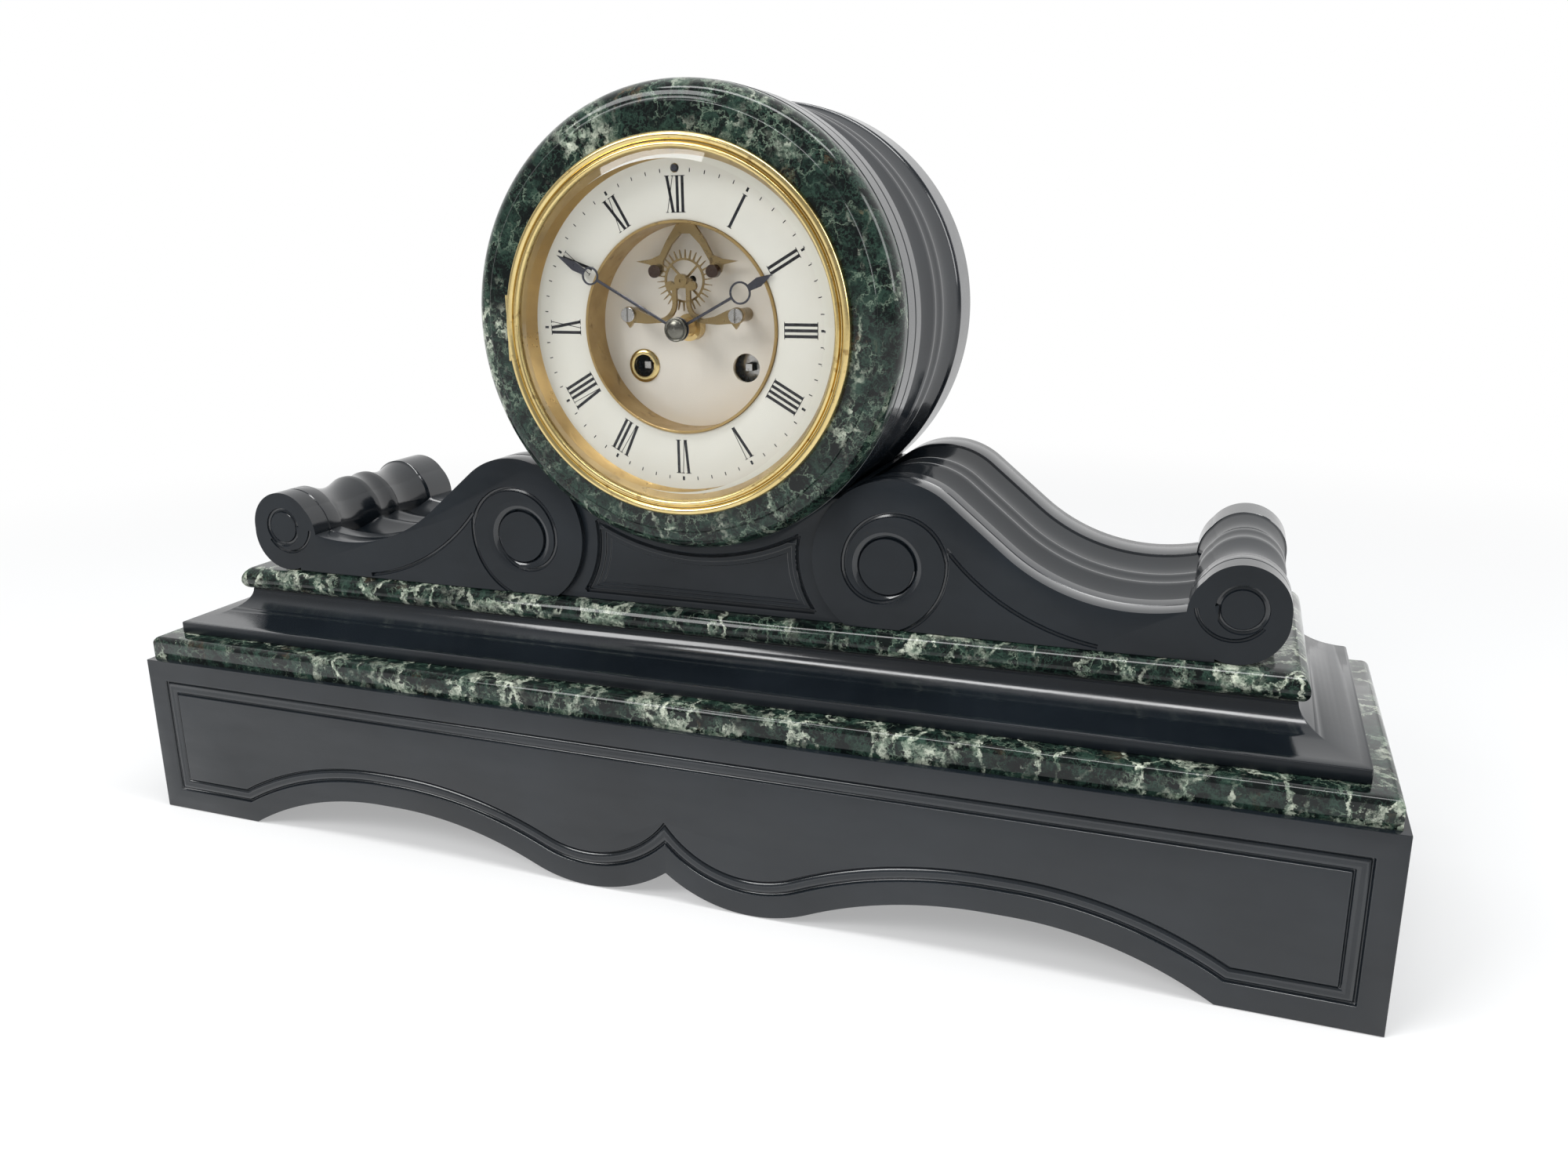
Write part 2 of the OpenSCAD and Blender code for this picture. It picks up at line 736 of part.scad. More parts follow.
module drum_barrel() {
    color(slate) difference() {
        turned([0, drum_z]) polygon(concat(
            [for (p = moulding(drum_back)) [drum_r - p[1], p[0]]],
            [[bore_r - 2 * dial_drop, case_d], [bore_r - 2 * dial_drop, drum_back]]));
        in_dial() rod([0, 0], bore_r, drum_back - 1, case_d + 1);
        in_dial() rod([0, 0], rear_seat_r, rear_back, case_d + 1);
        pendulum_well();
    }
}

module marble_ring() {
    edge_r = drum_r - 0.2;
    shoulder_w = edge_r - ring_flat_r + 0.2;
    shoulder_d = drum_back - 3 - ring_back - 0.7;
    rounded = [for (a = fan(10, -90, 0)) [
        ring_flat_r - 0.2 + shoulder_w * cos(a), drum_back - 3 + shoulder_d * sin(a)]];
    color(marble) difference() {
        turned([0, drum_z]) polygon(concat(
            [[bore_r - 2 * dial_drop, ring_back], [ring_flat_r - 0.2, ring_back]],
            rounded,
            [[edge_r, drum_back], [bore_r - 2 * dial_drop, drum_back]]));
        in_dial() {
            rod([0, 0], bore_r, ring_back - 1, drum_back + 1);
            rod([0, 0], flange_r + seat_gap, ring_back - 1, flange_back + flange_t);
        }
    }
}

module knuckle(x, back, r, z0, z1) {
    translate([x, yb(back), z0]) cylinder(r = r, h = z1 - z0, $fn = 48);
}

module case_ring() {
    color(brass) in_dial() difference() {
        union() {
            turned([0, 0]) polygon([
                [case_in_r, flange_back], [flange_r, flange_back],
                [flange_r, flange_back + flange_t], [case_ring_r, flange_back + flange_t],
                [case_ring_r, false_back], [case_in_r, false_back]]);
            knuckle(hinge_x, hinge_back, knuckle_r, -knuckle_z, knuckle_z);
            translate([hinge_x, yb(hinge_back), -knuckle_z])
                cube([2.3, flange_back + 0.3 - hinge_back, 2 * knuckle_z]);
        }
        knuckle(hinge_x, hinge_back, hinge_pin_r, -knuckle_end, knuckle_end);
    }
}

module bezel() {
    lip_back = bezel_back - 1.6;
    glass_seat_r = sight_r + 1.7;
    color(brass) in_dial() difference() {
        union() {
            turned([0, 0]) polygon([
                [sight_r, bezel_back - 2.5], [sight_r + 1, bezel_back - 2.9],
                [sight_r + 1.8, bezel_back - 2.5], [sight_r + 2.2, bezel_back - 1.9],
                [bezel_r - 2.6, bezel_back - 2.6], [bezel_r - 2, bezel_back - 2.9],
                [bezel_r - 1.2, bezel_back - 2.9], [bezel_r - 0.5, bezel_back - 2.4],
                [bezel_r, bezel_back - 1.5], [bezel_r, bezel_back],
                [glass_seat_r, bezel_back], [glass_seat_r, lip_back], [sight_r, lip_back]]);
            for (s = [-1, 1])
                knuckle(hinge_x, hinge_back, knuckle_r,
                    min(s * (knuckle_z + knuckle_gap), s * knuckle_end),
                    max(s * (knuckle_z + knuckle_gap), s * knuckle_end));
        }
        translate([hinge_x - 3, yb(hinge_back - knuckle_r - 0.15), -knuckle_z - knuckle_gap])
            cube([5.6, 5, 2 * (knuckle_z + knuckle_gap)]);
        knuckle(hinge_x, hinge_back, hinge_pin_r + run_gap, -knuckle_end - 1, knuckle_end + 1);
    }
}

module bezel_glass() {
    glass_r = sight_r + 1.6;
    front = bezel_back - 2.8;
    edge = bezel_back - 1.55;
    color(glass) in_dial() turned([0, 0]) polygon([
        [0, front], [sight_r - bevel_w, front], [sight_r, edge], [glass_r, edge],
        [glass_r, edge + 1], [0, edge + 1]]);
}

module sight_ring() {
    top = flange_back + 0.25;
    color(brass) in_dial() turned([0, 0]) polygon([
        [case_in_r - 0.7, top], [case_in_r - seat_gap, top], [case_in_r - seat_gap, top + 0.9],
        [sight_r - 2.2, chapter_back], [sight_r - 3.1, chapter_back]]);
}

module chapter_ring() {
    color(enamel) in_dial() difference() {
        turned([0, 0]) polygon([
            [chapter_in_r, chapter_back], [case_in_r - seat_gap, chapter_back],
            [case_in_r - seat_gap, chapter_back + enamel_t],
            [chapter_in_r, chapter_back + enamel_t]]);
        rod(regulator_at, regulator_r + run_gap, chapter_back - 1, chapter_back + 3);
    }
}

module dial_pan() {
    pan_back = chapter_back + enamel_t;
    collar_r = chapter_in_r - seat_gap;
    collar_in_r = collar_r - collar_wall;
    color(brass) in_dial() difference() {
        turned([0, 0]) polygon([
            [collar_in_r, chapter_back - 0.8], [collar_r, chapter_back - 0.8],
            [collar_r, pan_back], [case_in_r - seat_gap, pan_back],
            [case_in_r - seat_gap, pan_back + 1], [collar_r, pan_back + 1],
            [collar_r, centre_back], [collar_in_r, centre_back]]);
        rod(regulator_at, regulator_r + run_gap, pan_back - 1, pan_back + 3);
        translate([-4, yb(anchor_plane - 1.4), chapter_in_r - 6]) cube([8, centre_back, 12]);
    }
}

module dial_centre() {
    color(enamel) in_dial() difference() {
        rod([0, 0], chapter_in_r - seat_gap, centre_back, false_back);
        rod([0, 0], hour_pipe_r + 0.5, centre_back - 1, false_back + 1);
        rod(escape_at, thin_r + 0.8, centre_back - 1, false_back + 1);
        for (at = [going_at, strike_at]) rod(at, winding_hole_r, centre_back - 1, false_back + 1);
    }
}

module winding_grommet() {
    pipe_r = winding_hole_r - seat_gap;
    color(brass) in_dial() turned(strike_at) polygon([
        [pipe_r - 1, centre_back - 1], [pipe_r, centre_back - 1.1], [grommet_r, centre_back - 0.5],
        [grommet_r, centre_back], [pipe_r, centre_back], [pipe_r, false_back - seat_gap],
        [pipe_r - 1, false_back - seat_gap]]);
}

module false_plate() {
    color(brass) in_dial() difference() {
        union() {
            rod([0, 0], case_ring_r, false_back, false_rear);
            for (sx = [-1, 1], sz = [-1, 1])
                rod([sx * foot_at[0], sz * foot_at[1]], 2.5, false_back + 0.5, front_plate_back);
        }
        rod([0, 0], hour_pipe_r + 0.5, false_back - 1, false_rear + 1);
        rod(escape_at, thin_r + 0.8, false_back - 1, false_rear + 1);
        rod(pallet_at, pallet_arbor_r + 0.6, false_back - 1, false_rear + 1);
        rod(regulator_at, regulator_r + run_gap, false_back - 1, false_rear + 1);
        for (at = [going_at, strike_at]) rod(at, winding_hole_r + 0.4, false_back - 1, false_rear + 1);
    }
}

module regulator_arbor() {
    color(dark_steel) in_dial() {
        rod(regulator_at, regulator_r, chapter_back - 0.6, back_plate_rear + 6);
        rod(regulator_at, regulator_r + 1.2, back_plate_rear + 2.6, back_plate_rear + 5);
    }
}

// Stem, ring and arrow tip of a moon hand that points up
module hand_outline(reach, ring_at, ring_r, hub_r, bore) {
    difference() {
        union() {
            circle(hub_r);
            translate([-stem_w / 2, 0]) square([stem_w, ring_at - ring_r + 0.4]);
            translate([0, ring_at]) circle(ring_r);
            polygon([[1.1, ring_at + ring_r - 0.3], [1.7, ring_at + ring_r + 4], [0, reach],
                [-1.7, ring_at + ring_r + 4], [-1.1, ring_at + ring_r - 0.3]]);
        }
        circle(bore);
        translate([0, ring_at]) circle(ring_r - 0.7);
    }
}

module minute_hand() {
    color(dark_steel) in_dial() slice(minute_hand_back, minute_hand_back + hand_t)
        rotate(-minute_angle)
            hand_outline(minute_reach, minute_ring_at, minute_ring_r, collet_r - 0.6, cannon_r);
}

module hour_hand() {
    color(dark_steel) in_dial() slice(hour_hand_back, hour_hand_back + hand_t)
        rotate(-hour_angle)
            hand_outline(hour_reach, hour_ring_at, hour_ring_r, collet_r, hour_pipe_r);
}

module hand_collet() {
    dome = [for (a = fan(8, 90, 0)) [
        (collet_r - 1) * cos(a), minute_hand_back - 0.5 - 1.2 * sin(a)]];
    color(steel) in_dial() turned([0, 0]) polygon(concat(dome,
        [[collet_r - 0.4, minute_hand_back - 0.9], [collet_r, minute_hand_back - 0.7],
            [collet_r, minute_hand_back], [0, minute_hand_back]]));
}

module cannon_pinion() {
    color(steel) in_dial() difference() {
        union() {
            rod([0, 0], cannon_r, minute_hand_back, front_plate_back - 0.2);
            pinion([0, 0], cannon_leaves, cannon_m, minute_plane - 0.2,
                minute_plane + motion_t + 0.2, -90 + 180 / cannon_leaves);
        }
        rod([0, 0], cannon_in_r, minute_hand_back + 0.6, front_plate_back + 1);
    }
}

module hour_wheel() {
    color(brass) in_dial() difference() {
        union() {
            rod([0, 0], hour_pipe_r, hour_hand_back, hour_plane + motion_t);
            rod([0, 0], hour_boss_r, centre_back - 5, centre_back - 0.3);
            wheel([0, 0], hour_teeth, hour_m, hour_plane, hour_plane + motion_t, -90, 5, 4);
        }
        rod([0, 0], cannon_r + run_gap, hour_hand_back - 1, hour_plane + 5);
    }
}

module minute_wheel() {
    color(brass) in_dial() difference() {
        union() {
            wheel(minute_at, minute_teeth, cannon_m, minute_plane, minute_plane + motion_t,
                90, 3.4, 3);
            pinion(minute_at, minute_leaves, hour_m, hour_plane - 0.2, minute_plane + 0.1,
                90 + 180 / minute_leaves);
        }
        rod(minute_at, stud_r + run_gap, hour_plane - 1, front_plate_back);
    }
}

module pivot_holes(y0, y1) {
    for (at = [mid_at, third_at, escape_at, pin_at, warning_at, fly_at, hammer_at])
        rod(at, pivot_r + run_gap, y0, y1);
}

module front_plate() {
    color(brass) in_dial() {
        difference() {
            rod([0, 0], plate_r, front_plate_back, train_front);
            pivot_holes(front_plate_back - 1, train_front + 1);
            rod([0, 0], 1.5 + run_gap, front_plate_back - 1, train_front + 1);
            rod(pallet_at, pallet_arbor_r + run_gap, front_plate_back - 1, train_front + 1);
            for (at = [going_at, strike_at])
                rod(at, winding_r + run_gap, front_plate_back - 1, train_front + 1);
        }
        rod(minute_at, stud_r, hour_plane - 0.2, front_plate_back + 1);
        for (s = [-1, 1])
            rod([s * click_at[0], click_at[1]], stud_r, ratchet_plane - 0.2, front_plate_back + 1);
    }
}

module back_plate() {
    color(brass) in_dial() {
        difference() {
            rod([0, 0], plate_r, back_plate_back, back_plate_rear);
            pivot_holes(back_plate_back - 1, back_plate_rear + 1);
            rod([0, 0], pivot_r + run_gap, back_plate_back - 1, back_plate_rear + 1);
            rod(pin_at, arbor_r + run_gap, back_plate_back - 1, back_plate_rear + 1);
            rod(hammer_at, arbor_r + run_gap, back_plate_back - 1, back_plate_rear + 1);
            rod(pallet_at, pallet_arbor_r + 0.8, back_plate_back - 1, back_plate_rear + 1);
            for (at = [going_at, strike_at])
                rod(at, rear_pivot_r + run_gap, back_plate_back - 1, back_plate_rear + 1);
        }
        rod(count_at, stud_r, back_plate_rear - 1, back_plate_rear + 4);
    }
}

module plate_pillars() {
    color(brass) in_dial() for (s = [-1, 1], at = [upper_pillar_at, lower_pillar_at]) {
        rod([s * at[0], at[1]], pillar_r, train_front, back_plate_back);
        rod([s * at[0], at[1]], pillar_r + 0.7, train_front, train_front + 2);
        rod([s * at[0], at[1]], pillar_r + 0.7, back_plate_back - 2, back_plate_back);
    }
}

module barrel(at, driven_at, rim) {
    first = angle_to(at, driven_at);
    color(brass) in_dial() difference() {
        union() {
            rod(at, barrel_r, barrel_start, rim);
            slice(rim, rim + rim_t) translate(at)
                polygon(gear_points(barrel_teeth, barrel_m, first, 0.8, -1.3, 0.5, 0.18));
        }
        rod(at, barrel_arbor_r + run_gap, barrel_start - 1, barrel_end + 1);
        turned(at) translate([barrel_arbor_r + 2, barrel_start - 1]) square([barrel_r - 6, 1.6]);
    }
}

module going_barrel() {
    barrel(going_at, mid_at, barrel_rim);
}

module strike_barrel() {
    barrel(strike_at, pin_at, strike_rim);
}

// Winding arbor with its square in front and its ratchet wheel on the front plate
module winding_arbor(at) {
    teeth = 20;
    color(steel) in_dial() {
        slice(false_back + 1.2, ratchet_plane) translate(at)
            square([square_w, square_w], center = true);
        slice(ratchet_plane, ratchet_plane + ratchet_t) translate(at)
            polygon([for (i = [0 : teeth - 1], c = [[1, 0], [0.86, 0.1]])
                polar(ratchet_r * c[0], (i + c[1]) * 360 / teeth)]);
        rod(at, winding_r, ratchet_plane + ratchet_t / 2, train_front + 1);
        rod(at, barrel_arbor_r, train_front + end_shake, barrel_end + 1);
        rod(at, rear_pivot_r, barrel_end, back_plate_rear - 0.4);
    }
}

module going_arbor() {
    winding_arbor(going_at);
}

module strike_arbor() {
    winding_arbor(strike_at);
}

// Click whose nose stands a hair above the ratchet teeth
module click() {
    nose = going_at + polar(ratchet_r + 0.3, 50);
    color(steel) in_dial() slice(ratchet_plane, ratchet_plane + ratchet_t) difference() {
        union() {
            translate(click_at) circle(2.2);
            polygon([click_at + [0, 1.8], nose + [0.5, 1.5], nose, click_at + [0, -1.8]]);
        }
        translate(click_at) circle(stud_r + run_gap);
    }
}

module going_click() {
    click();
}

module strike_click() {
    mirror([1, 0, 0]) click();
}

module mid_wheel() {
    color(brass) in_dial() {
        arbor(mid_at, arbor_r);
        pinion(mid_at, barrel_leaves, barrel_m, barrel_rim - 0.3, barrel_end + 0.3,
            angle_to(going_at, mid_at) + 180 + 180 / barrel_leaves);
        wheel(mid_at, mid_teeth, mid_m, mid_plane, mid_plane + fine_t,
            angle_to(mid_at, [0, 0]), 3, 5);
    }
}

module centre_wheel() {
    color(brass) in_dial() {
        arbor([0, 0], arbor_r);
        rod([0, 0], 1.5, front_plate_back, train_front + 1);
        rod([0, 0], cannon_in_r - run_gap, minute_hand_back + 1, train_front);
        pinion([0, 0], mid_leaves, mid_m, mid_plane - 0.5, mid_plane + fine_t + 0.5,
            angle_to(mid_at, [0, 0]) + 180 + 180 / mid_leaves);
        wheel([0, 0], centre_teeth, centre_m, centre_plane, centre_plane + fine_t,
            angle_to([0, 0], third_at), 2.6, 5);
    }
}

module third_wheel() {
    color(brass) in_dial() {
        arbor(third_at, thin_r);
        pinion(third_at, fine_leaves, centre_m, centre_plane - 0.4, centre_plane + fine_t + 0.4,
            angle_to([0, 0], third_at) + 180 + 180 / fine_leaves);
        wheel(third_at, third_teeth, third_m, fine_plane, fine_plane + fine_t,
            angle_to(third_at, escape_at), 2.4, 4);
    }
}

module escape_wheel() {
    teeth = 30;
    rim_r = 7.8;
    color(brass) in_dial() {
        arbor(escape_at, pivot_r);
        rod(escape_at, pivot_r, cock_plane + 0.2, train_front + 1);
        rod(escape_at, 1.6, escape_plane - 0.3, escape_plane + escape_t + 0.8);
        pinion(escape_at, fine_leaves, third_m, fine_plane - 0.4, fine_plane + fine_t + 0.4,
            angle_to(third_at, escape_at) + 180 + 180 / fine_leaves);
        slice(escape_plane, escape_plane + escape_t) translate(escape_at) {
            difference() {
                polygon([for (i = [0 : teeth - 1], c = [
                    [rim_r, 0.02], [escape_r, 0.22], [escape_r, 0.3], [rim_r, 0.36]])
                    polar(c[0], (i + c[1]) * 360 / teeth)]);
                circle(rim_r - 0.7);
            }
            for (a = [45 : 90 : 315]) rotate(a) translate([0.8, -0.35]) square([rim_r - 1.2, 0.7]);
        }
    }
}

module cock_half() {
    curl = [9.2, 9.2];
    translate([1.9, curl[1]]) square([1.6, 6.4]);
    translate([4.3, 15]) circle(1.7);
    difference() {
        translate(curl) circle(7.3);
        translate(curl) circle(5.7);
        translate(curl + [-8, 0]) square([16, 8]);
        translate(curl + [-0.7, -8]) square([9, 9]);
    }
    translate(cock_foot) circle(2.9);
    polygon([[8.3, 1.9], [14, 1.5], [19.4, 1.9], [21, 0], cock_foot + [1.4, -2.5],
        cock_foot + [2.8, 0], cock_foot + [0, 2.8], [17.5, 6.4], [13, 4.4], [8.3, 3.5]]);
}

module escape_cock() {
    color(brass) in_dial() difference() {
        union() {
            slice(cock_plane, cock_plane + cock_t) {
                cock_half();
                mirror([1, 0]) cock_half();
                translate([-1.95, 14.2]) square([3.9, 2]);
            }
            rod(escape_at, 2.4, cock_plane - 0.2, cock_plane + 2.2);
            for (s = [-1, 1]) rod([s * cock_foot[0], cock_foot[1]], 2.4, cock_plane + 0.5, centre_back);
        }
        rod(escape_at, pivot_r + run_gap, cock_plane - 1, cock_plane + 4);
        for (s = [-1, 1]) rod([s * cock_foot[0], cock_foot[1]], 1, cock_plane - 1, cock_plane + 6);
    }
}

module cock_screws() {
    color(steel) in_dial() for (s = [-1, 1]) difference() {
        union() {
            rod([s * cock_foot[0], cock_foot[1]], 2.7, cock_plane - 1.1, cock_plane);
            rod([s * cock_foot[0], cock_foot[1]], 1, cock_plane - 0.5, cock_plane + 5);
        }
        translate([s * cock_foot[0] - 0.3, yb(cock_plane - 2), cock_foot[1] - 4]) cube([0.6, 1.5, 8]);
    }
}

module anchor_outline() {
    right = [[1.8, 33], [5.6, 29.2], [9.2, 23.4], [pallet_x - 1.7, 19.6], [pallet_x, 17.9],
        [pallet_x + 2.2, 19.6], [14.2, 22.2], [20, 23.4], [14, 24.2], [10.4, 25.6], [7.4, 31],
        [3, 37], [1.6, pallet_z]];
    left = [for (i = [len(right) - 1 : -1 : 0]) [-right[i][0], right[i][1]]];
    polygon(concat(right, left));
}

module pallet_pin() {
    slice(escape_plane - 1.3, escape_plane - 0.4)
        translate([pallet_x, 20]) circle(2.3);
    slice(escape_plane - 0.5, anchor_plane) intersection() {
        translate([pallet_x, 20]) circle(2.3);
        translate([pallet_x + 0.4, 15]) square([5, 10]);
    }
}

// Pallet anchor with its arbor, and the crutch that the pendulum pushes
module anchor() {
    crutch_back = back_plate_rear + 2;
    fork_z = 20;
    color(dark_steel) in_dial() {
        slice(anchor_plane, anchor_plane + anchor_t) {
            anchor_outline();
            translate(pallet_at) circle(2.2);
        }
        pallet_pin();
        mirror([1, 0, 0]) pallet_pin();
        rod(pallet_at, pallet_arbor_r, anchor_plane + 0.5, crutch_back + 5);
        rod(pallet_at, 2, crutch_back, crutch_back + 2);
        translate([-0.8, yb(crutch_back), fork_z - 1.5]) cube([1.6, 1.6, pallet_z - fork_z]);
        translate([-rod_r - 1.6, yb(crutch_back), fork_z - 1.5]) cube([2 * rod_r + 3.2, 1.6, 3]);
        for (s = [-1, 1]) translate([s * (rod_r + 0.95) - 0.65, yb(crutch_back), fork_z - 1.5])
            cube([1.3, pendulum_back + 2 - crutch_back, 3]);
    }
}

// Rear cock with the pallet pivot, the suspension block and the lug of the regulator
module pallet_cock() {
    bar_back = back_plate_rear + 5.6;
    color(brass) in_dial() difference() {
        union() {
            for (s = [-1, 1]) translate([s * 11 - 2.5, yb(back_plate_rear), 36])
                cube([5, bar_back + 2 - back_plate_rear, 9.5]);
            translate([-13.5, yb(bar_back), 36]) cube([27, 2, 14]);
            translate([-3.5, yb(bar_back), 49]) cube([7, 2, regulator_z - 45.5]);
            translate([-4, yb(bar_back + 1), suspension_z + 0.3])
                cube([8, pendulum_back + 3.4 - bar_back - 1, 4.5]);
        }
        rod(pallet_at, pallet_arbor_r + run_gap, bar_back - 1, bar_back + 4);
        rod(regulator_at, regulator_r + run_gap, bar_back - 1, bar_back + 4);
        translate([-0.4, yb(pendulum_back - 2.9), suspension_z]) cube([0.8, 5.8, 3]);
    }
}

module suspension_spring() {
    color(steel) in_dial() {
        translate([-0.1, yb(pendulum_back - 2.5), suspension_z - 9.5]) cube([0.2, 5, 11.5]);
    }
}

module pendulum_rod() {
    rod_top = suspension_z - 12;
    rod_end = suspension_z - pendulum_len - bob_r - 4.6;
    color(steel) in_dial() difference() {
        union() {
            translate([0, yb(pendulum_back), rod_end]) cylinder(r = rod_r, h = rod_top - rod_end);
            translate([-1.5, yb(pendulum_back - 2.9), rod_top - 1]) cube([3, 5.8, 4.2]);
        }
        translate([-0.1, yb(pendulum_back - 2.5), suspension_z - 9.5]) cube([0.2, 5, 2]);
    }
}

module pendulum_bob() {
    bob_z = suspension_z - pendulum_len;
    half = bob_t / 2;
    color(brass) in_dial() difference() {
        turned([0, bob_z]) polygon([
            [0, pendulum_back - half], [bob_r * 0.55, pendulum_back - half * 0.86],
            [bob_r * 0.85, pendulum_back - half * 0.5], [bob_r, pendulum_back - half * 0.14],
            [bob_r, pendulum_back + half * 0.14], [bob_r * 0.85, pendulum_back + half * 0.5],
            [bob_r * 0.55, pendulum_back + half * 0.86], [0, pendulum_back + half]]);
        translate([0, yb(pendulum_back), bob_z - 2 * bob_r]) cylinder(r = rod_r, h = 4 * bob_r);
    }
}

module rating_nut() {
    nut_z = suspension_z - pendulum_len - bob_r - 3.2;
    color(brass) in_dial() translate([0, yb(pendulum_back), nut_z]) difference() {
        cylinder(r = 4, h = 3);
        translate([0, 0, -1]) cylinder(r = rod_r, h = 5);
    }
}

module pin_wheel() {
    color(brass) in_dial() {
        arbor(pin_at, arbor_r);
        rod(pin_at, arbor_r, back_plate_back - 1, back_plate_rear + 3.4);
        pinion(pin_at, barrel_leaves, barrel_m, strike_rim - 0.3, strike_rim + rim_t + 0.3,
            angle_to(strike_at, pin_at) + 180 + 180 / barrel_leaves);
        wheel(pin_at, pin_teeth, pin_m, fine_plane, fine_plane + fine_t,
            angle_to(pin_at, warning_at), 3, 5);
        pinion(pin_at, count_leaves, count_m, back_plate_rear + 0.6, back_plate_rear + 2.8,
            angle_to(pin_at, count_at) + 180 / count_leaves);
        for (i = [0 : 9]) rod(pin_at + polar(13.6, i * 36), 0.6, fine_plane + 0.5, fine_plane + 3.2);
    }
}

module warning_wheel() {
    color(brass) in_dial() {
        arbor(warning_at, 0.8);
        pinion(warning_at, warning_leaves, pin_m, fine_plane - 0.4, fine_plane + fine_t + 0.4,
            angle_to(pin_at, warning_at) + 180 + 180 / warning_leaves);
        wheel(warning_at, warning_teeth, warning_m, warning_plane, warning_plane + fine_t,
            angle_to(warning_at, fly_at), 2.4, 4);
    }
}

module fly() {
    color(brass) in_dial() {
        arbor(fly_at, thin_r);
        pinion(fly_at, fly_leaves, warning_m, warning_plane - 0.4, warning_plane + fine_t + 0.4,
            angle_to(warning_at, fly_at) + 180 + 180 / fly_leaves);
        rod(fly_at, 1.2, warning_plane + 4, warning_plane + 18);
        slice(warning_plane + 4, warning_plane + 18) translate(fly_at)
            square([13, 0.6], center = true);
    }
}

module count_wheel() {
    plate_back = back_plate_rear + 0.9;
    color(brass) in_dial() difference() {
        union() {
            wheel(count_at, count_teeth, count_m, plate_back, plate_back + 1.2,
                angle_to(count_at, pin_at), 3, 4);
            slice(plate_back + 1.2, plate_back + 2.2) translate(count_at) difference() {
                circle(17.2);
                circle(14.6);
                for (hours = [1 : 12]) rotate(-(hours * (hours + 1) / 2 + hours) * 4)
                    translate([16.2, -0.6]) square([3, 1.2]);
            }
        }
        rod(count_at, stud_r + run_gap, plate_back - 1, plate_back + 5);
    }
}

module hammer() {
    arm_back = bell_back + 0.5;
    stand_off = bell_r + 4;
    apart = norm(hammer_at - bell_at);
    head_at = bell_at + polar(stand_off, angle_to(bell_at, hammer_at) + acos(stand_off / apart));
    arm_len = norm(hammer_at - head_at);
    tail = angle_to(hammer_at, pin_at);
    color(steel) in_dial() {
        rod(hammer_at, pivot_r, front_plate_back + 0.4, train_front + 1);
        rod(hammer_at, arbor_r, train_front + end_shake, arm_back + 2.5);
        rod(head_at, 3, arm_back, arm_back + 6);
        slice(arm_back, arm_back + 2) translate(hammer_at) rotate(angle_to(hammer_at, head_at)) {
            circle(2.4);
            translate([0, -0.9]) square([arm_len, 1.8]);
        }
        slice(fine_plane + 2.2, fine_plane + 3) translate(hammer_at) rotate(tail) {
            circle(2);
            translate([0, -0.6]) square([5.2, 1.2]);
        }
    }
}

module bell() {
    inner = bell_r - bell_wall;
    color(bell_metal) in_dial() turned(bell_at) polygon(concat(
        [for (a = fan(12, 0, 90)) [
            max(bell_r * pow(cos(a), 0.6), stud_r), bell_back + bell_d * sin(a)]],
        [for (a = fan(12, 90, 0)) [
            max(inner * pow(cos(a), 0.6), stud_r), bell_back + (bell_d - bell_wall) * sin(a)]]));
}

module bell_stand() {
    crown = bell_back + bell_d;
    color(steel) in_dial() {
        rod(bell_at, 2, back_plate_rear, crown - bell_wall);
        rod(bell_at, stud_r, crown - bell_wall - 1, crown + 1);
        rod(bell_at, 2.6, crown, crown + 1.8);
        rod(bell_at, 4, back_plate_rear, back_plate_rear + 1.5);
    }
}

module rear_ring() {
    color(brass) in_dial() difference() {
        union() {
            turned([0, 0]) translate([rear_open_r, rear_back])
                square([rear_seat_r - seat_gap - rear_open_r, rear_ring_t]);
            knuckle(door_hinge_x, door_hinge_back, door_knuckle_r, -4, 4);
            translate([door_hinge_x - 0.8, yb(rear_rear - 0.5), -4])
                cube([1.6, door_hinge_back - rear_rear + 0.5, 8]);
        }
        for (s = [-1, 1]) rod([s * strap_x, 0], strap_screw_r, rear_back - 1, rear_rear + 1);
        knuckle(door_hinge_x, door_hinge_back, door_pin_r, -12, 12);
    }
}

// Brass straps that join the movement ring to the long screws at the back
module straps() {
    strap_end = bell_back + 4;
    strap_w = 10;
    strap_t = 1.5;
    strap_out = sqrt(case_ring_r * case_ring_r - strap_w * strap_w / 4) - 0.2;
    color(brass) in_dial() for (s = [0, 1]) mirror([s, 0, 0]) difference() {
        union() {
            translate([strap_out - strap_t, yb(false_rear), -strap_w / 2])
                cube([strap_t, strap_end - false_rear, strap_w]);
            translate([strap_x - 4, yb(strap_end - 2.5), -strap_w / 2])
                cube([strap_out - strap_x + 4, 2.5, strap_w]);
        }
        rod([strap_x, 0], strap_screw_r, strap_end - 4, strap_end + 1);
    }
}

module strap_screws() {
    color(steel) in_dial() for (s = [-1, 1]) difference() {
        union() {
            rod([s * strap_x, 0], strap_screw_r, bell_back, rear_rear + 0.5);
            rod([s * strap_x, 0], strap_screw_r + 1.5, rear_rear, rear_rear + 1.8);
        }
        translate([s * strap_x - 0.4, yb(rear_rear + 0.9), -5]) cube([0.8, 2, 10]);
    }
}

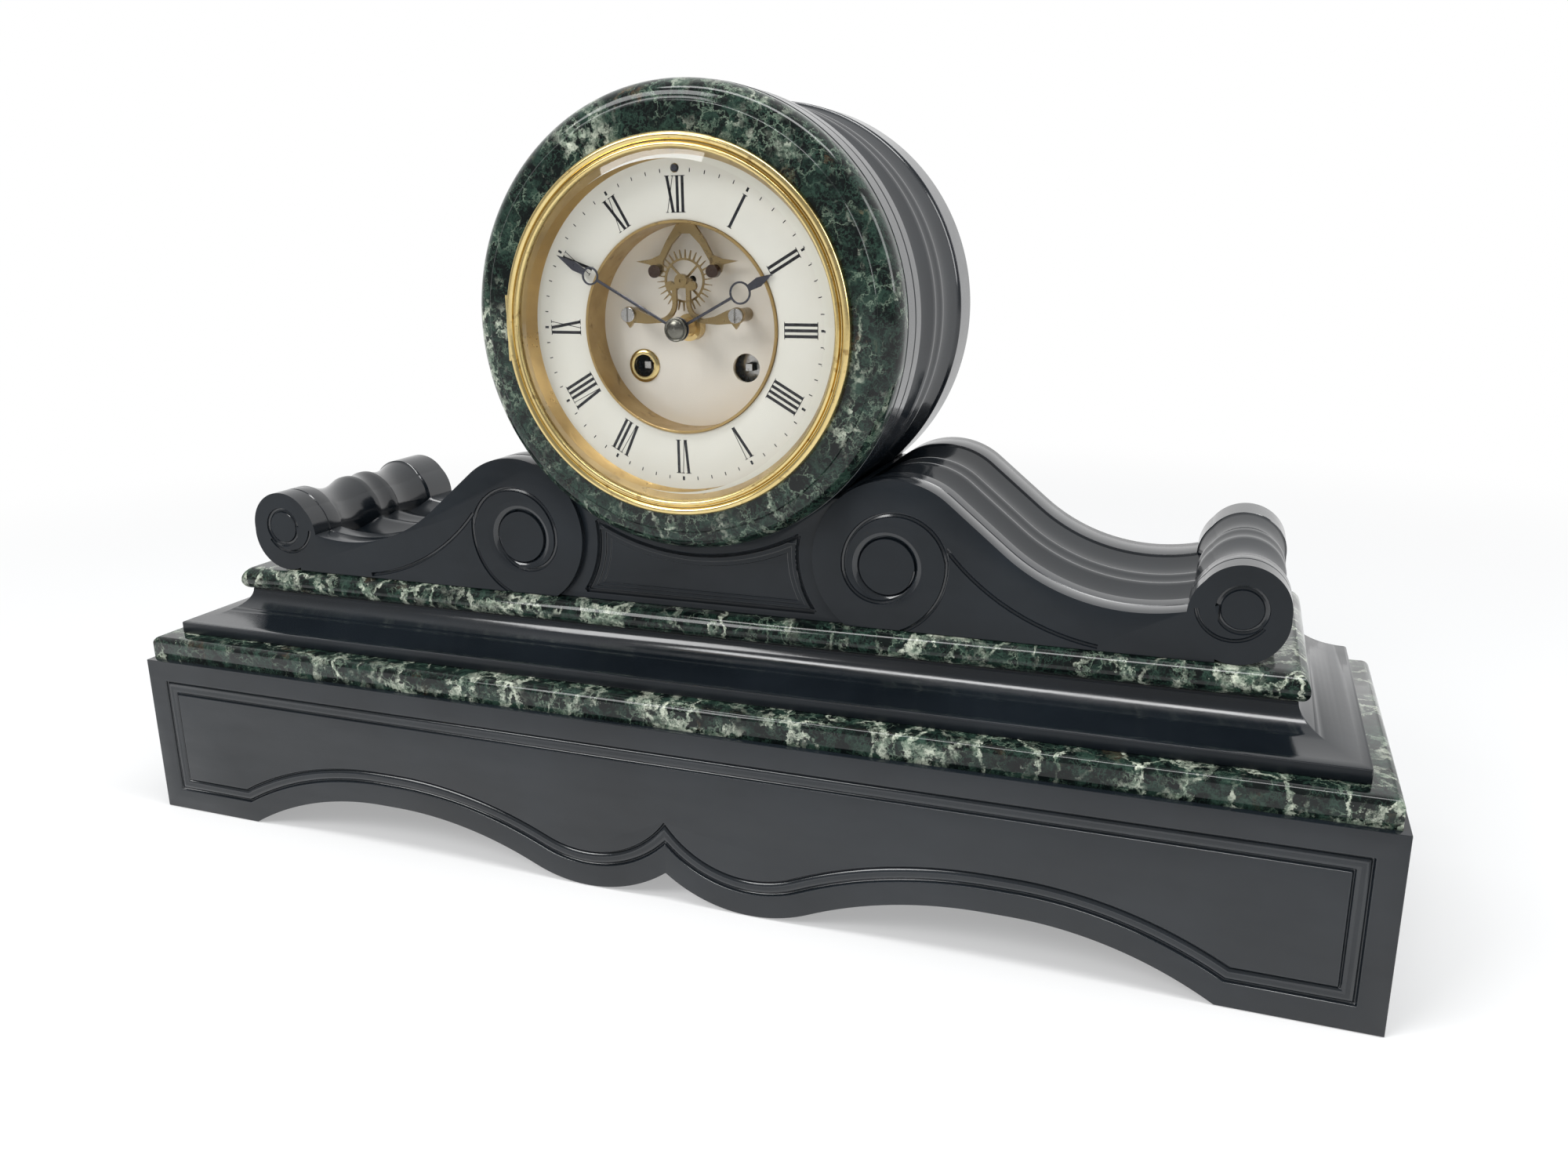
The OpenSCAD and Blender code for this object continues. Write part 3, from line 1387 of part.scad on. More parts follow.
module back_door() {
    knob_r = 3.2;
    knob_end = case_d - 0.4;
    color(brass) in_dial() difference() {
        union() {
            rod([0, 0], door_r, door_back, door_back + door_t);
            for (s = [-1, 1])
                knuckle(door_hinge_x, door_hinge_back, door_knuckle_r, s > 0 ? 4.4 : -11, s > 0 ? 11 : -4.4);
            for (s = [-1, 1]) translate([door_hinge_x, yb(door_back), s > 0 ? 4.4 : -11])
                cube([4, door_t, 6.6]);
            rod([door_r - 9, 0], 1.6, door_back + 0.5, knob_end - 0.5);
            rod([door_r - 9, 0], knob_r, door_back + door_t + 0.5, knob_end);
        }
        translate([door_hinge_x - 3, yb(door_back - 1), -4.4]) cube([6, 6, 8.8]);
        knuckle(door_hinge_x, door_hinge_back, door_pin_r + run_gap, -12, 12);
    }
}

module hinge_pins() {
    color(steel) in_dial() {
        knuckle(hinge_x, hinge_back, hinge_pin_r, -knuckle_end, knuckle_end);
        knuckle(door_hinge_x, door_hinge_back, door_pin_r, -11, 11);
    }
}

plinth();
lower_marble_slab();
ogee_moulding();
upper_marble_slab();
saddle_block();
scroll_left();
scroll_right();
end_roll_left();
end_roll_right();
drum_barrel();
marble_ring();
case_ring();
bezel();
bezel_glass();
sight_ring();
chapter_ring();
dial_pan();
dial_centre();
winding_grommet();
false_plate();
regulator_arbor();
hour_hand();
minute_hand();
hand_collet();
cannon_pinion();
hour_wheel();
minute_wheel();
front_plate();
back_plate();
plate_pillars();
going_barrel();
going_arbor();
going_click();
mid_wheel();
centre_wheel();
third_wheel();
escape_wheel();
escape_cock();
cock_screws();
anchor();
pallet_cock();
suspension_spring();
pendulum_rod();
pendulum_bob();
rating_nut();
strike_barrel();
strike_arbor();
strike_click();
pin_wheel();
warning_wheel();
fly();
count_wheel();
hammer();
bell();
bell_stand();
rear_ring();
straps();
strap_screws();
back_door();
hinge_pins();
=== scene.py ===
import json
import math

import bpy
from mathutils import Matrix, Vector


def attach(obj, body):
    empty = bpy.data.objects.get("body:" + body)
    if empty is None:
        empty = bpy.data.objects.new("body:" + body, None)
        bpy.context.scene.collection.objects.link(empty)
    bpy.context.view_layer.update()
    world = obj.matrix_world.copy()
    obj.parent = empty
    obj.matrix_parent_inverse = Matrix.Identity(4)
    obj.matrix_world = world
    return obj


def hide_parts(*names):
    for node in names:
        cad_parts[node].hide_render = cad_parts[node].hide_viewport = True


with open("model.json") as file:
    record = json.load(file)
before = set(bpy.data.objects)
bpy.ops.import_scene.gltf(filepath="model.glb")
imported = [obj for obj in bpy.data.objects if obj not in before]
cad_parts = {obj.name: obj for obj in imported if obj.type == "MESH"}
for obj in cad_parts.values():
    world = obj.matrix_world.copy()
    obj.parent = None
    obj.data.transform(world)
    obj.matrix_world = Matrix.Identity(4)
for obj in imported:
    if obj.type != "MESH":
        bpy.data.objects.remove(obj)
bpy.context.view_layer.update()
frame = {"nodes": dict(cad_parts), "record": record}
cadNodes = frame["nodes"]
bodyOfNode = {
    node: body for body, names in frame["record"]["behaviour"]["bodies"].items() for node in names}
print("frame loaded,", len(cadNodes), "nodes")

mm = 0.001
clock = {"width": 500, "depth": 136, "dialZ": 214.5, "drumZ": 216.2, "slabTop": 107}


def sine(angle):
    return math.sin(math.radians(angle))


def cosine(angle):
    return math.cos(math.radians(angle))


# A place given by x, distance behind the plinth's front, and height, all in mm
def place(x, back, z):
    return Vector((x, back - clock["depth"] / 2, z)) * mm


def makeActive(piece):
    if bpy.context.object and bpy.context.object.mode != "OBJECT":
        bpy.ops.object.mode_set(mode="OBJECT")
    bpy.ops.object.select_all(action="DESELECT")
    if piece:
        piece.select_set(True)
        bpy.context.view_layer.objects.active = piece


def openMesh(piece):
    makeActive(piece)
    bpy.ops.object.mode_set(mode="EDIT")
    bpy.ops.mesh.select_all(action="SELECT")


# Picks the vertices of the open mesh that pass a test
def pick(piece, test):
    bpy.ops.mesh.select_mode(type="VERT")
    bpy.ops.mesh.select_all(action="DESELECT")
    bpy.ops.object.mode_set(mode="OBJECT")
    for vertex in piece.data.vertices:
        vertex.select = test(vertex)
    bpy.ops.object.mode_set(mode="EDIT")


def cleanMesh(loose=True):
    bpy.ops.mesh.select_mode(type="VERT")
    bpy.ops.mesh.select_all(action="SELECT")
    bpy.ops.mesh.remove_doubles(threshold=2e-6)
    if loose:
        bpy.ops.mesh.delete_loose(use_verts=True, use_edges=True, use_faces=False)
    bpy.ops.mesh.select_all(action="SELECT")
    bpy.ops.mesh.normals_make_consistent(inside=False)
    bpy.ops.object.mode_set(mode="OBJECT")


def smoothBy(piece, angle):
    makeActive(piece)
    bpy.ops.object.shade_smooth_by_angle(angle=math.radians(angle))


def applyModifiers(piece):
    makeActive(piece)
    for modifier in list(piece.modifiers):
        bpy.ops.object.modifier_apply(modifier=modifier.name)


def easeEdges(piece, width, segments=2, angle=30):
    bevel = piece.modifiers.new("easedEdges", "BEVEL")
    bevel.width = width * mm
    bevel.segments = segments
    bevel.limit_method = "ANGLE"
    bevel.angle_limit = math.radians(angle)
    bevel.miter_outer = "MITER_ARC"
    applyModifiers(piece)


# Cuts one solid out of another, or joins the two into one
def combine(piece, other, operation):
    change = piece.modifiers.new("combined", "BOOLEAN")
    change.operation = operation
    change.solver = "EXACT"
    change.object = other
    applyModifiers(piece)
    bpy.data.objects.remove(other)


def cutAway(piece, cutter):
    combine(piece, cutter, "DIFFERENCE")


# An outline drawn through the given points, filled or open in the middle
def outline(name, points, filled=False):
    makeActive(None)
    bpy.ops.mesh.primitive_circle_add(
        vertices=len(points), radius=0.01, fill_type="NGON" if filled else "NOTHING")
    piece = bpy.context.object
    piece.name = name
    piece.data.name = name
    for vertex, point in zip(piece.data.vertices, points):
        vertex.co = point
    return piece


# Turned work: an outline of [radius, distance behind the front] spun about an axis along Y
def turn(name, at, points, steps=160, smooth=32):
    piece = outline(name, [place(at[0] + r, back, at[1]) for r, back in points])
    openMesh(piece)
    bpy.ops.mesh.spin(steps=steps, angle=math.tau, center=place(at[0], 0, at[1]), axis=(0, 1, 0))
    cleanMesh()
    smoothBy(piece, smooth)
    return piece


# A rod along Y, used as a cutter
def rodCutter(at, radius, back0, back1, steps=160):
    makeActive(None)
    bpy.ops.mesh.primitive_cylinder_add(
        vertices=steps, radius=radius * mm, depth=(back1 - back0) * mm,
        location=place(at[0], (back0 + back1) / 2, at[1]), rotation=(math.pi / 2, 0, 0))
    bpy.ops.object.transform_apply(location=True, rotation=True, scale=True)
    return bpy.context.object


def blockCutter(low, high):
    makeActive(None)
    bpy.ops.mesh.primitive_cube_add(size=1, location=(low + high) / 2, scale=high - low)
    bpy.ops.object.transform_apply(location=True, rotation=True, scale=True)
    return bpy.context.object


# Round-bottomed line cut into a flat front along an arc in X and Z
def cutArc(piece, at, radius, start, end, front, width, depth):
    half = width / 2
    section = [(-half, -1), (half, -1), (half, 0), (half * 0.72, depth * 0.75), (0, depth),
               (-half * 0.72, depth * 0.75), (-half, 0)]
    cutter = outline("arcCutter", [
        place(at[0] + (radius + r) * cosine(start), front + back, at[1] + (radius + r) * sine(start))
        for r, back in section], filled=True)
    openMesh(cutter)
    bpy.ops.mesh.spin(
        steps=max(6, int(abs(end - start) / 3)), angle=math.radians(end - start),
        center=place(at[0], 0, at[1]), axis=(0, 1, 0))
    cleanMesh()
    cutAway(piece, cutter)


def copyOf(mesh, name):
    other = bpy.data.objects.new(name, mesh.copy())
    bpy.context.scene.collection.objects.link(other)
    return other


# Copy of a CAD node with merged corners, eased edges and smooth curved faces
def refine(name, node, ease=0.12, smooth=30, segments=1):
    piece = copyOf(cadNodes[node].data, name)
    openMesh(piece)
    bpy.ops.mesh.remove_doubles(threshold=1e-6)
    bpy.ops.mesh.dissolve_limited(angle_limit=math.radians(0.4), delimit={"NORMAL"})
    cleanMesh(loose=False)
    if ease:
        easeEdges(piece, ease, segments)
    smoothBy(piece, smooth)
    return piece


def flip(piece, name):
    other = copyOf(piece.data, name)
    other.data.name = name
    openMesh(other)
    bpy.ops.transform.resize(value=(-1, 1, 1), center_override=(0, 0, 0))
    bpy.ops.mesh.normals_make_consistent(inside=False)
    bpy.ops.object.mode_set(mode="OBJECT")
    return other


# Flat slate faces that look forwards are left satin, the moulded ones are polished
def finishPiece(piece, node, material, flatFaces=None):
    piece.data.materials.clear()
    piece.data.materials.append(material)
    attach(piece, bodyOfNode[node])
    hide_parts(node)
    if flatFaces:
        piece.data.materials.append(flatFaces)
        for face in piece.data.polygons:
            if face.normal.y < -0.98:
                face.material_index = 1
    return piece


def startFinish(name, color, metallic, roughness):
    material = bpy.data.materials.new(name)
    material.use_nodes = True
    shader = material.node_tree.nodes["Principled BSDF"]
    shader.inputs["Base Color"].default_value = (*color, 1)
    shader.inputs["Metallic"].default_value = metallic
    shader.inputs["Roughness"].default_value = roughness
    return material, material.node_tree, shader


def addNode(tree, kind, inputs=(), **settings):
    node = tree.nodes.new(kind)
    for key, value in settings.items():
        setattr(node, key, value)
    for key, value in dict(inputs).items():
        if isinstance(value, bpy.types.NodeSocket):
            tree.links.new(value, node.inputs[key])
        else:
            node.inputs[key].default_value = value
    return node


def objectPoint(tree, stretch=(1, 1, 1), turnBy=(0, 0, 0)):
    point = addNode(tree, "ShaderNodeTexCoord").outputs["Object"]
    return addNode(tree, "ShaderNodeMapping", {
        "Vector": point, "Scale": stretch, "Rotation": turnBy}).outputs["Vector"]


def noise(tree, point, scale, detail=4, roughness=0.55):
    return addNode(tree, "ShaderNodeTexNoise", {
        "Vector": point, "Scale": scale, "Detail": detail, "Roughness": roughness}).outputs["Fac"]


def crackle(tree, point, scale):
    return addNode(tree, "ShaderNodeTexVoronoi", {
        "Vector": point, "Scale": scale}, feature="DISTANCE_TO_EDGE").outputs["Distance"]


def ramp(tree, value, stops):
    node = addNode(tree, "ShaderNodeValToRGB", {"Fac": value})
    while len(node.color_ramp.elements) < len(stops):
        node.color_ramp.elements.new(0.5)
    for element, (at, color) in zip(node.color_ramp.elements, stops):
        element.position = at
        element.color = (color, color, color, 1) if isinstance(color, (int, float)) else (*color, 1)
    return node.outputs["Color"]


def calc(tree, first, second, operation="MULTIPLY"):
    return addNode(tree, "ShaderNodeMath", {0: first, 1: second}, operation=operation, use_clamp=True).outputs[0]


def vectorCalc(tree, first, second, operation):
    return addNode(tree, "ShaderNodeVectorMath", {0: first, 1: second}, operation=operation).outputs[0]


def bump(tree, shader, height, strength, distance):
    node = addNode(tree, "ShaderNodeBump", {"Height": height, "Strength": strength, "Distance": distance})
    tree.links.new(node.outputs["Normal"], shader.inputs["Normal"])


def mixColor(tree, share, first, second):
    node = addNode(tree, "ShaderNodeMix", data_type="RGBA", blend_type="MIX")
    for socket, value in ((node.inputs[0], share), (node.inputs[6], first), (node.inputs[7], second)):
        if isinstance(value, bpy.types.NodeSocket):
            tree.links.new(value, socket)
        else:
            socket.default_value = (*value, 1)
    return node.outputs[2]


slateFinish = {
    "dark": (0.0062, 0.0088, 0.0118),
    "worn": (0.0135, 0.018, 0.0235),
    "dust": (0.06, 0.062, 0.066),
}


# Black slate with a cloudy ground, dusty specks and wiped streaks in its sheen
def makeSlate(name, sheen, specular):
    material, tree, shader = startFinish(name, slateFinish["dark"], 0, 0.3)
    point = objectPoint(tree)
    body = ramp(tree, noise(tree, point, 14, 5, 0.6), [
        (0.35, slateFinish["dark"]), (0.72, slateFinish["worn"])])
    dusty = ramp(tree, noise(tree, objectPoint(tree, (1, 1, 1.4)), 620, 2, 0.7), [(0.7, 0), (0.78, 1)])
    patchy = ramp(tree, noise(tree, point, 22, 3), [(0.52, 0), (0.75, 0.5)])
    body = mixColor(tree, calc(tree, dusty, patchy), body, slateFinish["dust"])
    tree.links.new(body, shader.inputs["Base Color"])
    shader.inputs["Specular IOR Level"].default_value = specular
    wipes = noise(tree, objectPoint(tree, (1, 2, 5)), 30, 5, 0.6)
    tree.links.new(ramp(tree, wipes, [(0.3, sheen[0]), (0.75, sheen[1])]), shader.inputs["Roughness"])
    bump(tree, shader, noise(tree, point, 240, 4, 0.6), 0.04, 0.0005)
    return material


marbleFinish = {
    "night": (0.0025, 0.0042, 0.0043),
    "forest": (0.0085, 0.020, 0.0155),
    "moss": (0.032, 0.066, 0.048),
    "vein": (0.20, 0.27, 0.20),
    "milk": (0.62, 0.66, 0.54),
    "rust": (0.17, 0.105, 0.055),
    "specular": 0.36,
    "broadVeins": [(34, 0.055, (0.3, 0.5, 0.2)), (74, 0.06, (0.1, 1.1, 0.5))],
}


# Green serpentine breccia: dark rounded stones in a mossy ground, with fine and broad pale veins
def makeMarble(name, cell, fine, broad, rust):
    tones = marbleFinish
    material, tree, shader = startFinish(name, tones["night"], 0, 0.09)
    straight = objectPoint(tree)

    def warped(scale, reach, stretch=(1, 1, 1), turnBy=(0, 0, 0)):
        drift = addNode(tree, "ShaderNodeTexNoise", {
            "Vector": straight, "Scale": scale, "Detail": 6.0, "Roughness": 0.68}).outputs["Color"]
        offset = vectorCalc(tree, drift, (0.5, 0.5, 0.5), "SUBTRACT")
        shift = addNode(tree, "ShaderNodeVectorMath", {0: offset, "Scale": reach}, operation="SCALE")
        return vectorCalc(tree, objectPoint(tree, stretch, turnBy), shift.outputs[0], "ADD")

    loose = warped(cell, 2.2 / cell)
    ground = ramp(tree, noise(tree, loose, cell * 1.6, 8, 0.7), [
        (0.38, tones["night"]), (0.5, tones["forest"]), (0.66, tones["moss"]), (0.8, tones["vein"])])
    stones = addNode(tree, "ShaderNodeTexVoronoi", {
        "Vector": loose, "Scale": cell}, feature="SMOOTH_F1").outputs["Distance"]
    body = mixColor(tree, ramp(tree, stones, [(0.4, 0.94), (0.53, 0)]), ground, tones["night"])

    for scale, width, tone, from0 in (
        (cell * 0.9, 0.05, tones["vein"], 0.56 - fine), (cell * 2.1, 0.09, tones["moss"], 0.5 - fine),
    ):
        line = ramp(tree, crackle(tree, loose, scale), [(0.0, 0.9), (width, 0)])
        patches = ramp(tree, noise(tree, straight, scale * 0.5, 4, 0.6), [(from0 - 0.04, 0), (from0 + 0.08, 1)])
        body = mixColor(tree, calc(tree, line, patches), body, tone)

    from0 = 0.6 - broad
    for scale, width, turnBy in tones["broadVeins"]:
        cracks = crackle(tree, warped(scale * 2.2, 0.75 / scale, (1, 1, 0.55), turnBy), scale)
        core = ramp(tree, cracks, [(0.0, 1), (width * 0.6, 0.85), (width * 0.85, 0)])
        frayed = ramp(tree, noise(tree, loose, cell * 2.4, 5, 0.7), [(0.36, 0), (0.6, 1)])
        where = ramp(tree, noise(tree, straight, scale * 0.55, 4, 0.6), [(from0 - 0.05, 0), (from0 + 0.06, 1)])
        milky = ramp(tree, noise(tree, loose, cell * 1.2, 3), [(0.4, 0), (0.62, 1)])
        tone = mixColor(tree, milky, tones["vein"], tones["milk"])
        body = mixColor(tree, calc(tree, calc(tree, core, frayed), where), body, tone)

    spots = ramp(tree, noise(tree, loose, 60, 5, 0.65), [(0.63, 0), (0.72, rust)])
    tree.links.new(mixColor(tree, spots, body, tones["rust"]), shader.inputs["Base Color"])
    shader.inputs["Specular IOR Level"].default_value = tones["specular"]
    gloss = ramp(tree, noise(tree, straight, 60, 3), [(0.3, 0.05), (0.8, 0.13)])
    tree.links.new(gloss, shader.inputs["Roughness"])
    return material


def makeMetal(name, bright, dull, roughness, scale=60, spots=None):
    material, tree, shader = startFinish(name, bright, 1, roughness)
    point = objectPoint(tree)
    body = ramp(tree, noise(tree, point, scale, 5, 0.6), [(0.38, bright), (0.75, dull)])
    if spots:
        flecks = ramp(tree, noise(tree, point, scale * 6, 3, 0.6), [(0.62, 0), (0.72, 0.75)])
        body = mixColor(tree, flecks, body, spots)
    tree.links.new(body, shader.inputs["Base Color"])
    fine = noise(tree, point, scale * 4, 4, 0.6)
    sheen = ramp(tree, fine, [(0.3, roughness * 0.75), (0.75, roughness * 1.4)])
    tree.links.new(sheen, shader.inputs["Roughness"])
    bump(tree, shader, noise(tree, point, scale * 14, 2, 0.5), 0.08, 0.0002)
    return material


def makeEnamel(name, white, shaded, roughness=0.1):
    material, tree, shader = startFinish(name, white, 0, roughness)
    point = objectPoint(tree)
    body = ramp(tree, noise(tree, point, 26, 4, 0.5), [(0.35, white), (0.8, shaded)])
    tree.links.new(body, shader.inputs["Base Color"])
    shader.inputs["Coat Weight"].default_value = 0.35
    bump(tree, shader, noise(tree, point, 120, 2, 0.5), 0.03, 0.0004)
    return material


def makeGlass(name, color, alpha, transmission):
    material, tree, shader = startFinish(name, color, 0, 0.02)
    shader.inputs["IOR"].default_value = 1.5
    smears = ramp(tree, noise(tree, objectPoint(tree), 40, 3), [(0.3, 0.015), (0.8, 0.05)])
    tree.links.new(smears, shader.inputs["Roughness"])
    shader.inputs["Alpha"].default_value = alpha
    shader.inputs["Transmission Weight"].default_value = transmission
    return material


def makePrint(name, dark, thin):
    material, tree, shader = startFinish(name, dark, 0, 0.2)
    body = ramp(tree, noise(tree, objectPoint(tree), 300, 3), [(0.4, dark), (0.8, thin)])
    tree.links.new(body, shader.inputs["Base Color"])
    return material


slate = makeSlate("polishedBlackSlate", (0.11, 0.2), 0.75)
satinSlate = makeSlate("satinBlackSlate", (0.28, 0.4), 0.3)
honedSlate = makeSlate("honedBlackSlate", (0.36, 0.5), 0.62)
ringMarble = makeMarble("mottledGreenMarble", 150, 0.07, 0.03, 0.6)
slabMarble = makeMarble("streakedGreenMarble", 170, 0.03, 0.1, 0.3)
gilt = makeMetal("giltBrass", (0.80, 0.64, 0.30), (0.66, 0.50, 0.21), 0.2, 40, (0.34, 0.22, 0.08))
oldGilt = makeMetal("agedGiltBrass", (0.60, 0.43, 0.19), (0.40, 0.27, 0.11), 0.34, 34, (0.24, 0.15, 0.06))
brass = makeMetal("clockBrass", (0.72, 0.54, 0.25), (0.60, 0.43, 0.18), 0.28, 50, (0.42, 0.28, 0.11))
workBrass = makeMetal("darkWorkingBrass", (0.42, 0.31, 0.15), (0.30, 0.215, 0.10), 0.3, 60, (0.16, 0.11, 0.06))
bellMetal = makeMetal("bellMetal", (0.64, 0.49, 0.30), (0.50, 0.36, 0.2), 0.26, 40, (0.30, 0.2, 0.1))
steel = makeMetal("polishedSteel", (0.60, 0.59, 0.57), (0.46, 0.45, 0.43), 0.24, 70, (0.20, 0.16, 0.12))
darkSteel = makeMetal("darkDomedSteel", (0.22, 0.215, 0.185), (0.14, 0.135, 0.115), 0.22, 70)
blued = makeMetal("greyedBlueSteel", (0.125, 0.13, 0.155), (0.085, 0.085, 0.10), 0.3, 80)
palletSteel = makeMetal("darkPalletPin", (0.13, 0.09, 0.07), (0.08, 0.055, 0.045), 0.22, 90)
dialEnamel = makeEnamel("dialEnamel", (0.86, 0.845, 0.76), (0.80, 0.78, 0.69))
centreEnamel = makeEnamel("recessedEnamel", (0.90, 0.86, 0.77), (0.82, 0.77, 0.68), 0.16)
clearGlass = makeGlass("flatGlass", (0.03, 0.035, 0.035), 0.06, 0)
bevelGlass = makeGlass("bevelledGlass", (0.9, 0.93, 0.92), 1, 1)
dialPrint = makePrint("firedBlackPrint", (0.01, 0.01, 0.013), (0.035, 0.035, 0.042))
print("finishes made")


# Moulding that runs from front to back, as [distance behind the front, depth]
def moulding(start):
    def hollow(back0, back1, depth0, depth1, sag, count):
        return [(back0 + (back1 - back0) * i / count,
                 depth0 + (depth1 - depth0) * i / count + sag * math.sin(math.pi * i / count))
                for i in range(count + 1)]
    return ([(start, 0), (43.4, 0), (43.8, 0.45), (44.2, 0.45), (44.6, 0)]
            + hollow(51.5, 79.5, 0, 1.6, 5.2, 26) + [(81.5, 1.6)]
            + hollow(82, 92, 2.4, 1.6, 1.2, 10) + [(93.8, 1.6)]
            + hollow(94.4, 117.4, 2.2, 1, 3.4, 20) + [(118, 0), (clock["depth"], 0)])


plinth = {
    "height": 70.2, "archX": 199, "archHeight": 18.9, "haunch": 132, "spandrel": 160,
    "lobe": 57, "crown": 8, "bead": (9, 15), "quirk": 1.3, "ease": 0.35,
}


# Lower edge of the plinth's front from the middle to the right foot, drawn in by an inset
def apronEdge(inset):
    height = plinth["archHeight"]
    haunch, spandrel, lobe = plinth["haunch"], plinth["spandrel"], plinth["lobe"]
    archX = plinth["archX"] - math.sqrt(haunch ** 2 - (haunch - height) ** 2)
    spandrelX = archX - plinth["crown"]
    touch = spandrel + lobe
    run = math.sqrt(touch ** 2 - (touch - height) ** 2)
    lobeX = spandrelX - run
    swing = math.asin(run / touch)
    points = []

    def addArc(x, z, radius, start, end, count, first=0):
        for i in range(first, count + 1):
            angle = start + (end - start) * i / count
            points.append((x + radius * math.cos(angle), z + radius * math.sin(angle)))

    ring = lobe - inset
    cusp = math.acos(lobeX / ring)
    addArc(lobeX, lobe, ring, cusp - math.pi, swing - math.pi / 2, 24)
    addArc(spandrelX, height - spandrel, spandrel + inset, math.pi / 2 + swing, math.pi / 2, 16, 1)
    ring = haunch + inset
    last = math.acos((haunch - height + inset) / ring)
    addArc(archX, height - haunch, ring, math.pi / 2, math.pi / 2 - last, 24)
    return points


def plinthFront(inset):
    half = clock["width"] / 2 - inset
    right = apronEdge(inset) + [(half, inset), (half, plinth["height"] - inset)]
    left = [(-x, z) for x, z in reversed(right)]
    return right + left[:-1]


# The front is drawn in step by step, so the bead and its two quirks follow the outline
def makePlinth():
    inner, outer = plinth["bead"]
    quirk = plinth["quirk"]
    steps = [(0, 0), (inner - 0.6, 0), (inner, 0), (inner + 0.3, quirk * 0.85), (inner + 0.8, quirk)]
    for i in range(1, 10):
        turnBy = math.pi * i / 10
        steps.append((inner + 0.8 + (outer - inner - 1.6) * (1 - math.cos(turnBy)) / 2,
                      quirk - (quirk - 0.1) * math.sin(turnBy)))
    steps += [(outer - 0.8, quirk), (outer - 0.3, quirk * 0.85), (outer, 0.1)]
    piece = outline("plinthSlate", [place(x, clock["depth"], z) for x, z in plinthFront(0)], filled=True)
    count = len(piece.data.vertices)
    for inset, depth in steps:
        first = len(piece.data.vertices) - count
        openMesh(piece)
        pick(piece, lambda vertex: vertex.index >= first)
        bpy.ops.mesh.extrude_region_move()
        bpy.ops.object.mode_set(mode="OBJECT")
        moved = [v for v in piece.data.vertices if v.select]
        for vertex, (x, z) in zip(moved, plinthFront(inset)):
            vertex.co = place(x, depth, z)
    openMesh(piece)
    cleanMesh()
    easeEdges(piece, plinth["ease"], 2, 50)
    smoothBy(piece, 34)
    return piece


# Slab with the same edge, [inset, height] from the bottom up, on its front and both sides
def makeSlab(name, edge, ease):
    half, back = clock["width"] / 2, clock["depth"]
    inset, z = edge[0]
    piece = outline(name, [
        place(-half + inset, inset, z), place(half - inset, inset, z),
        place(half - inset, back, z), place(-half + inset, back, z)], filled=True)
    openMesh(piece)
    for nextInset, nextZ in edge[1:]:
        wide = (half - nextInset) / (half - inset)
        deep = (back - nextInset) / (back - inset)
        bpy.ops.mesh.extrude_region_move(TRANSFORM_OT_translate={"value": (0, 0, (nextZ - z) * mm)})
        bpy.ops.transform.resize(value=(wide, deep, 1), center_override=place(0, back, nextZ))
        inset, z = nextInset, nextZ
    cleanMesh()
    easeEdges(piece, ease, 2, 40)
    smoothBy(piece, 30)
    return piece


def arcPoints(at, radius, start, end, count):
    angles = [start + (end - start) * i / count for i in range(count + 1)]
    return [(at[0] + radius * cosine(a), at[1] + radius * sine(a)) for a in angles]


slabs = {
    "lower": {"inset": 2.5, "bottom": 70.2, "top": 80.2, "round": 3},
    "cove": {"inset": 11.4, "fillet": 85.2, "neck": 33.2, "top": 97, "lip": (1.1, 0.4)},
    "upper": {"inset": 30, "bottom": 97, "top": 107, "lowRound": 4, "topRound": 6},
}


def lowerEdge():
    inset, low, top, radius = slabs["lower"].values()
    return [(inset, low), *arcPoints((inset + radius, top - radius), radius, 180, 90, 10)]


def coveEdge():
    inset, fillet, neck, top, (lipIn, lipUp) = slabs["cove"].values()
    hollow = [(inset + lipIn + (neck - inset - lipIn) * sine(a),
               fillet + lipUp + (top - fillet - lipUp) * (1 - cosine(a))) for a in range(0, 91, 6)]
    return [(inset, slabs["lower"]["top"]), (inset, fillet), *hollow]


def upperEdge():
    inset, low, top, lowRound, topRound = slabs["upper"].values()
    return (arcPoints((inset + lowRound, low + lowRound), lowRound, 270, 180, 8)
            + arcPoints((inset + topRound, top - topRound), topRound, 180, 90, 12)[1:])


finishPiece(makePlinth(), "plinth", slate, honedSlate)
finishPiece(makeSlab("lowerSlabMarble", lowerEdge(), 0.3), "lower_marble_slab", slabMarble)
finishPiece(makeSlab("coveMouldingSlate", coveEdge(), 0.4), "ogee_moulding", slate, satinSlate)
finishPiece(makeSlab("upperSlabMarble", upperEdge(), 0.2), "upper_marble_slab", slabMarble)
print("plinth and slabs made")


scroll = {
    "front": 34.4, "volute": (78.5, 132), "radius": 30.5, "slope": 40, "slopeLength": 26.5, "cove": 70,
    "coveTurn": 62, "roll": (197, 126), "rollRadius": 15.3, "foot": (196, 123.3), "footRadius": 16.3,
    "rollShare": 0.6, "eye": (-2.3, -1.5), "eyeRadius": 15.2, "ease": 0.4,
}


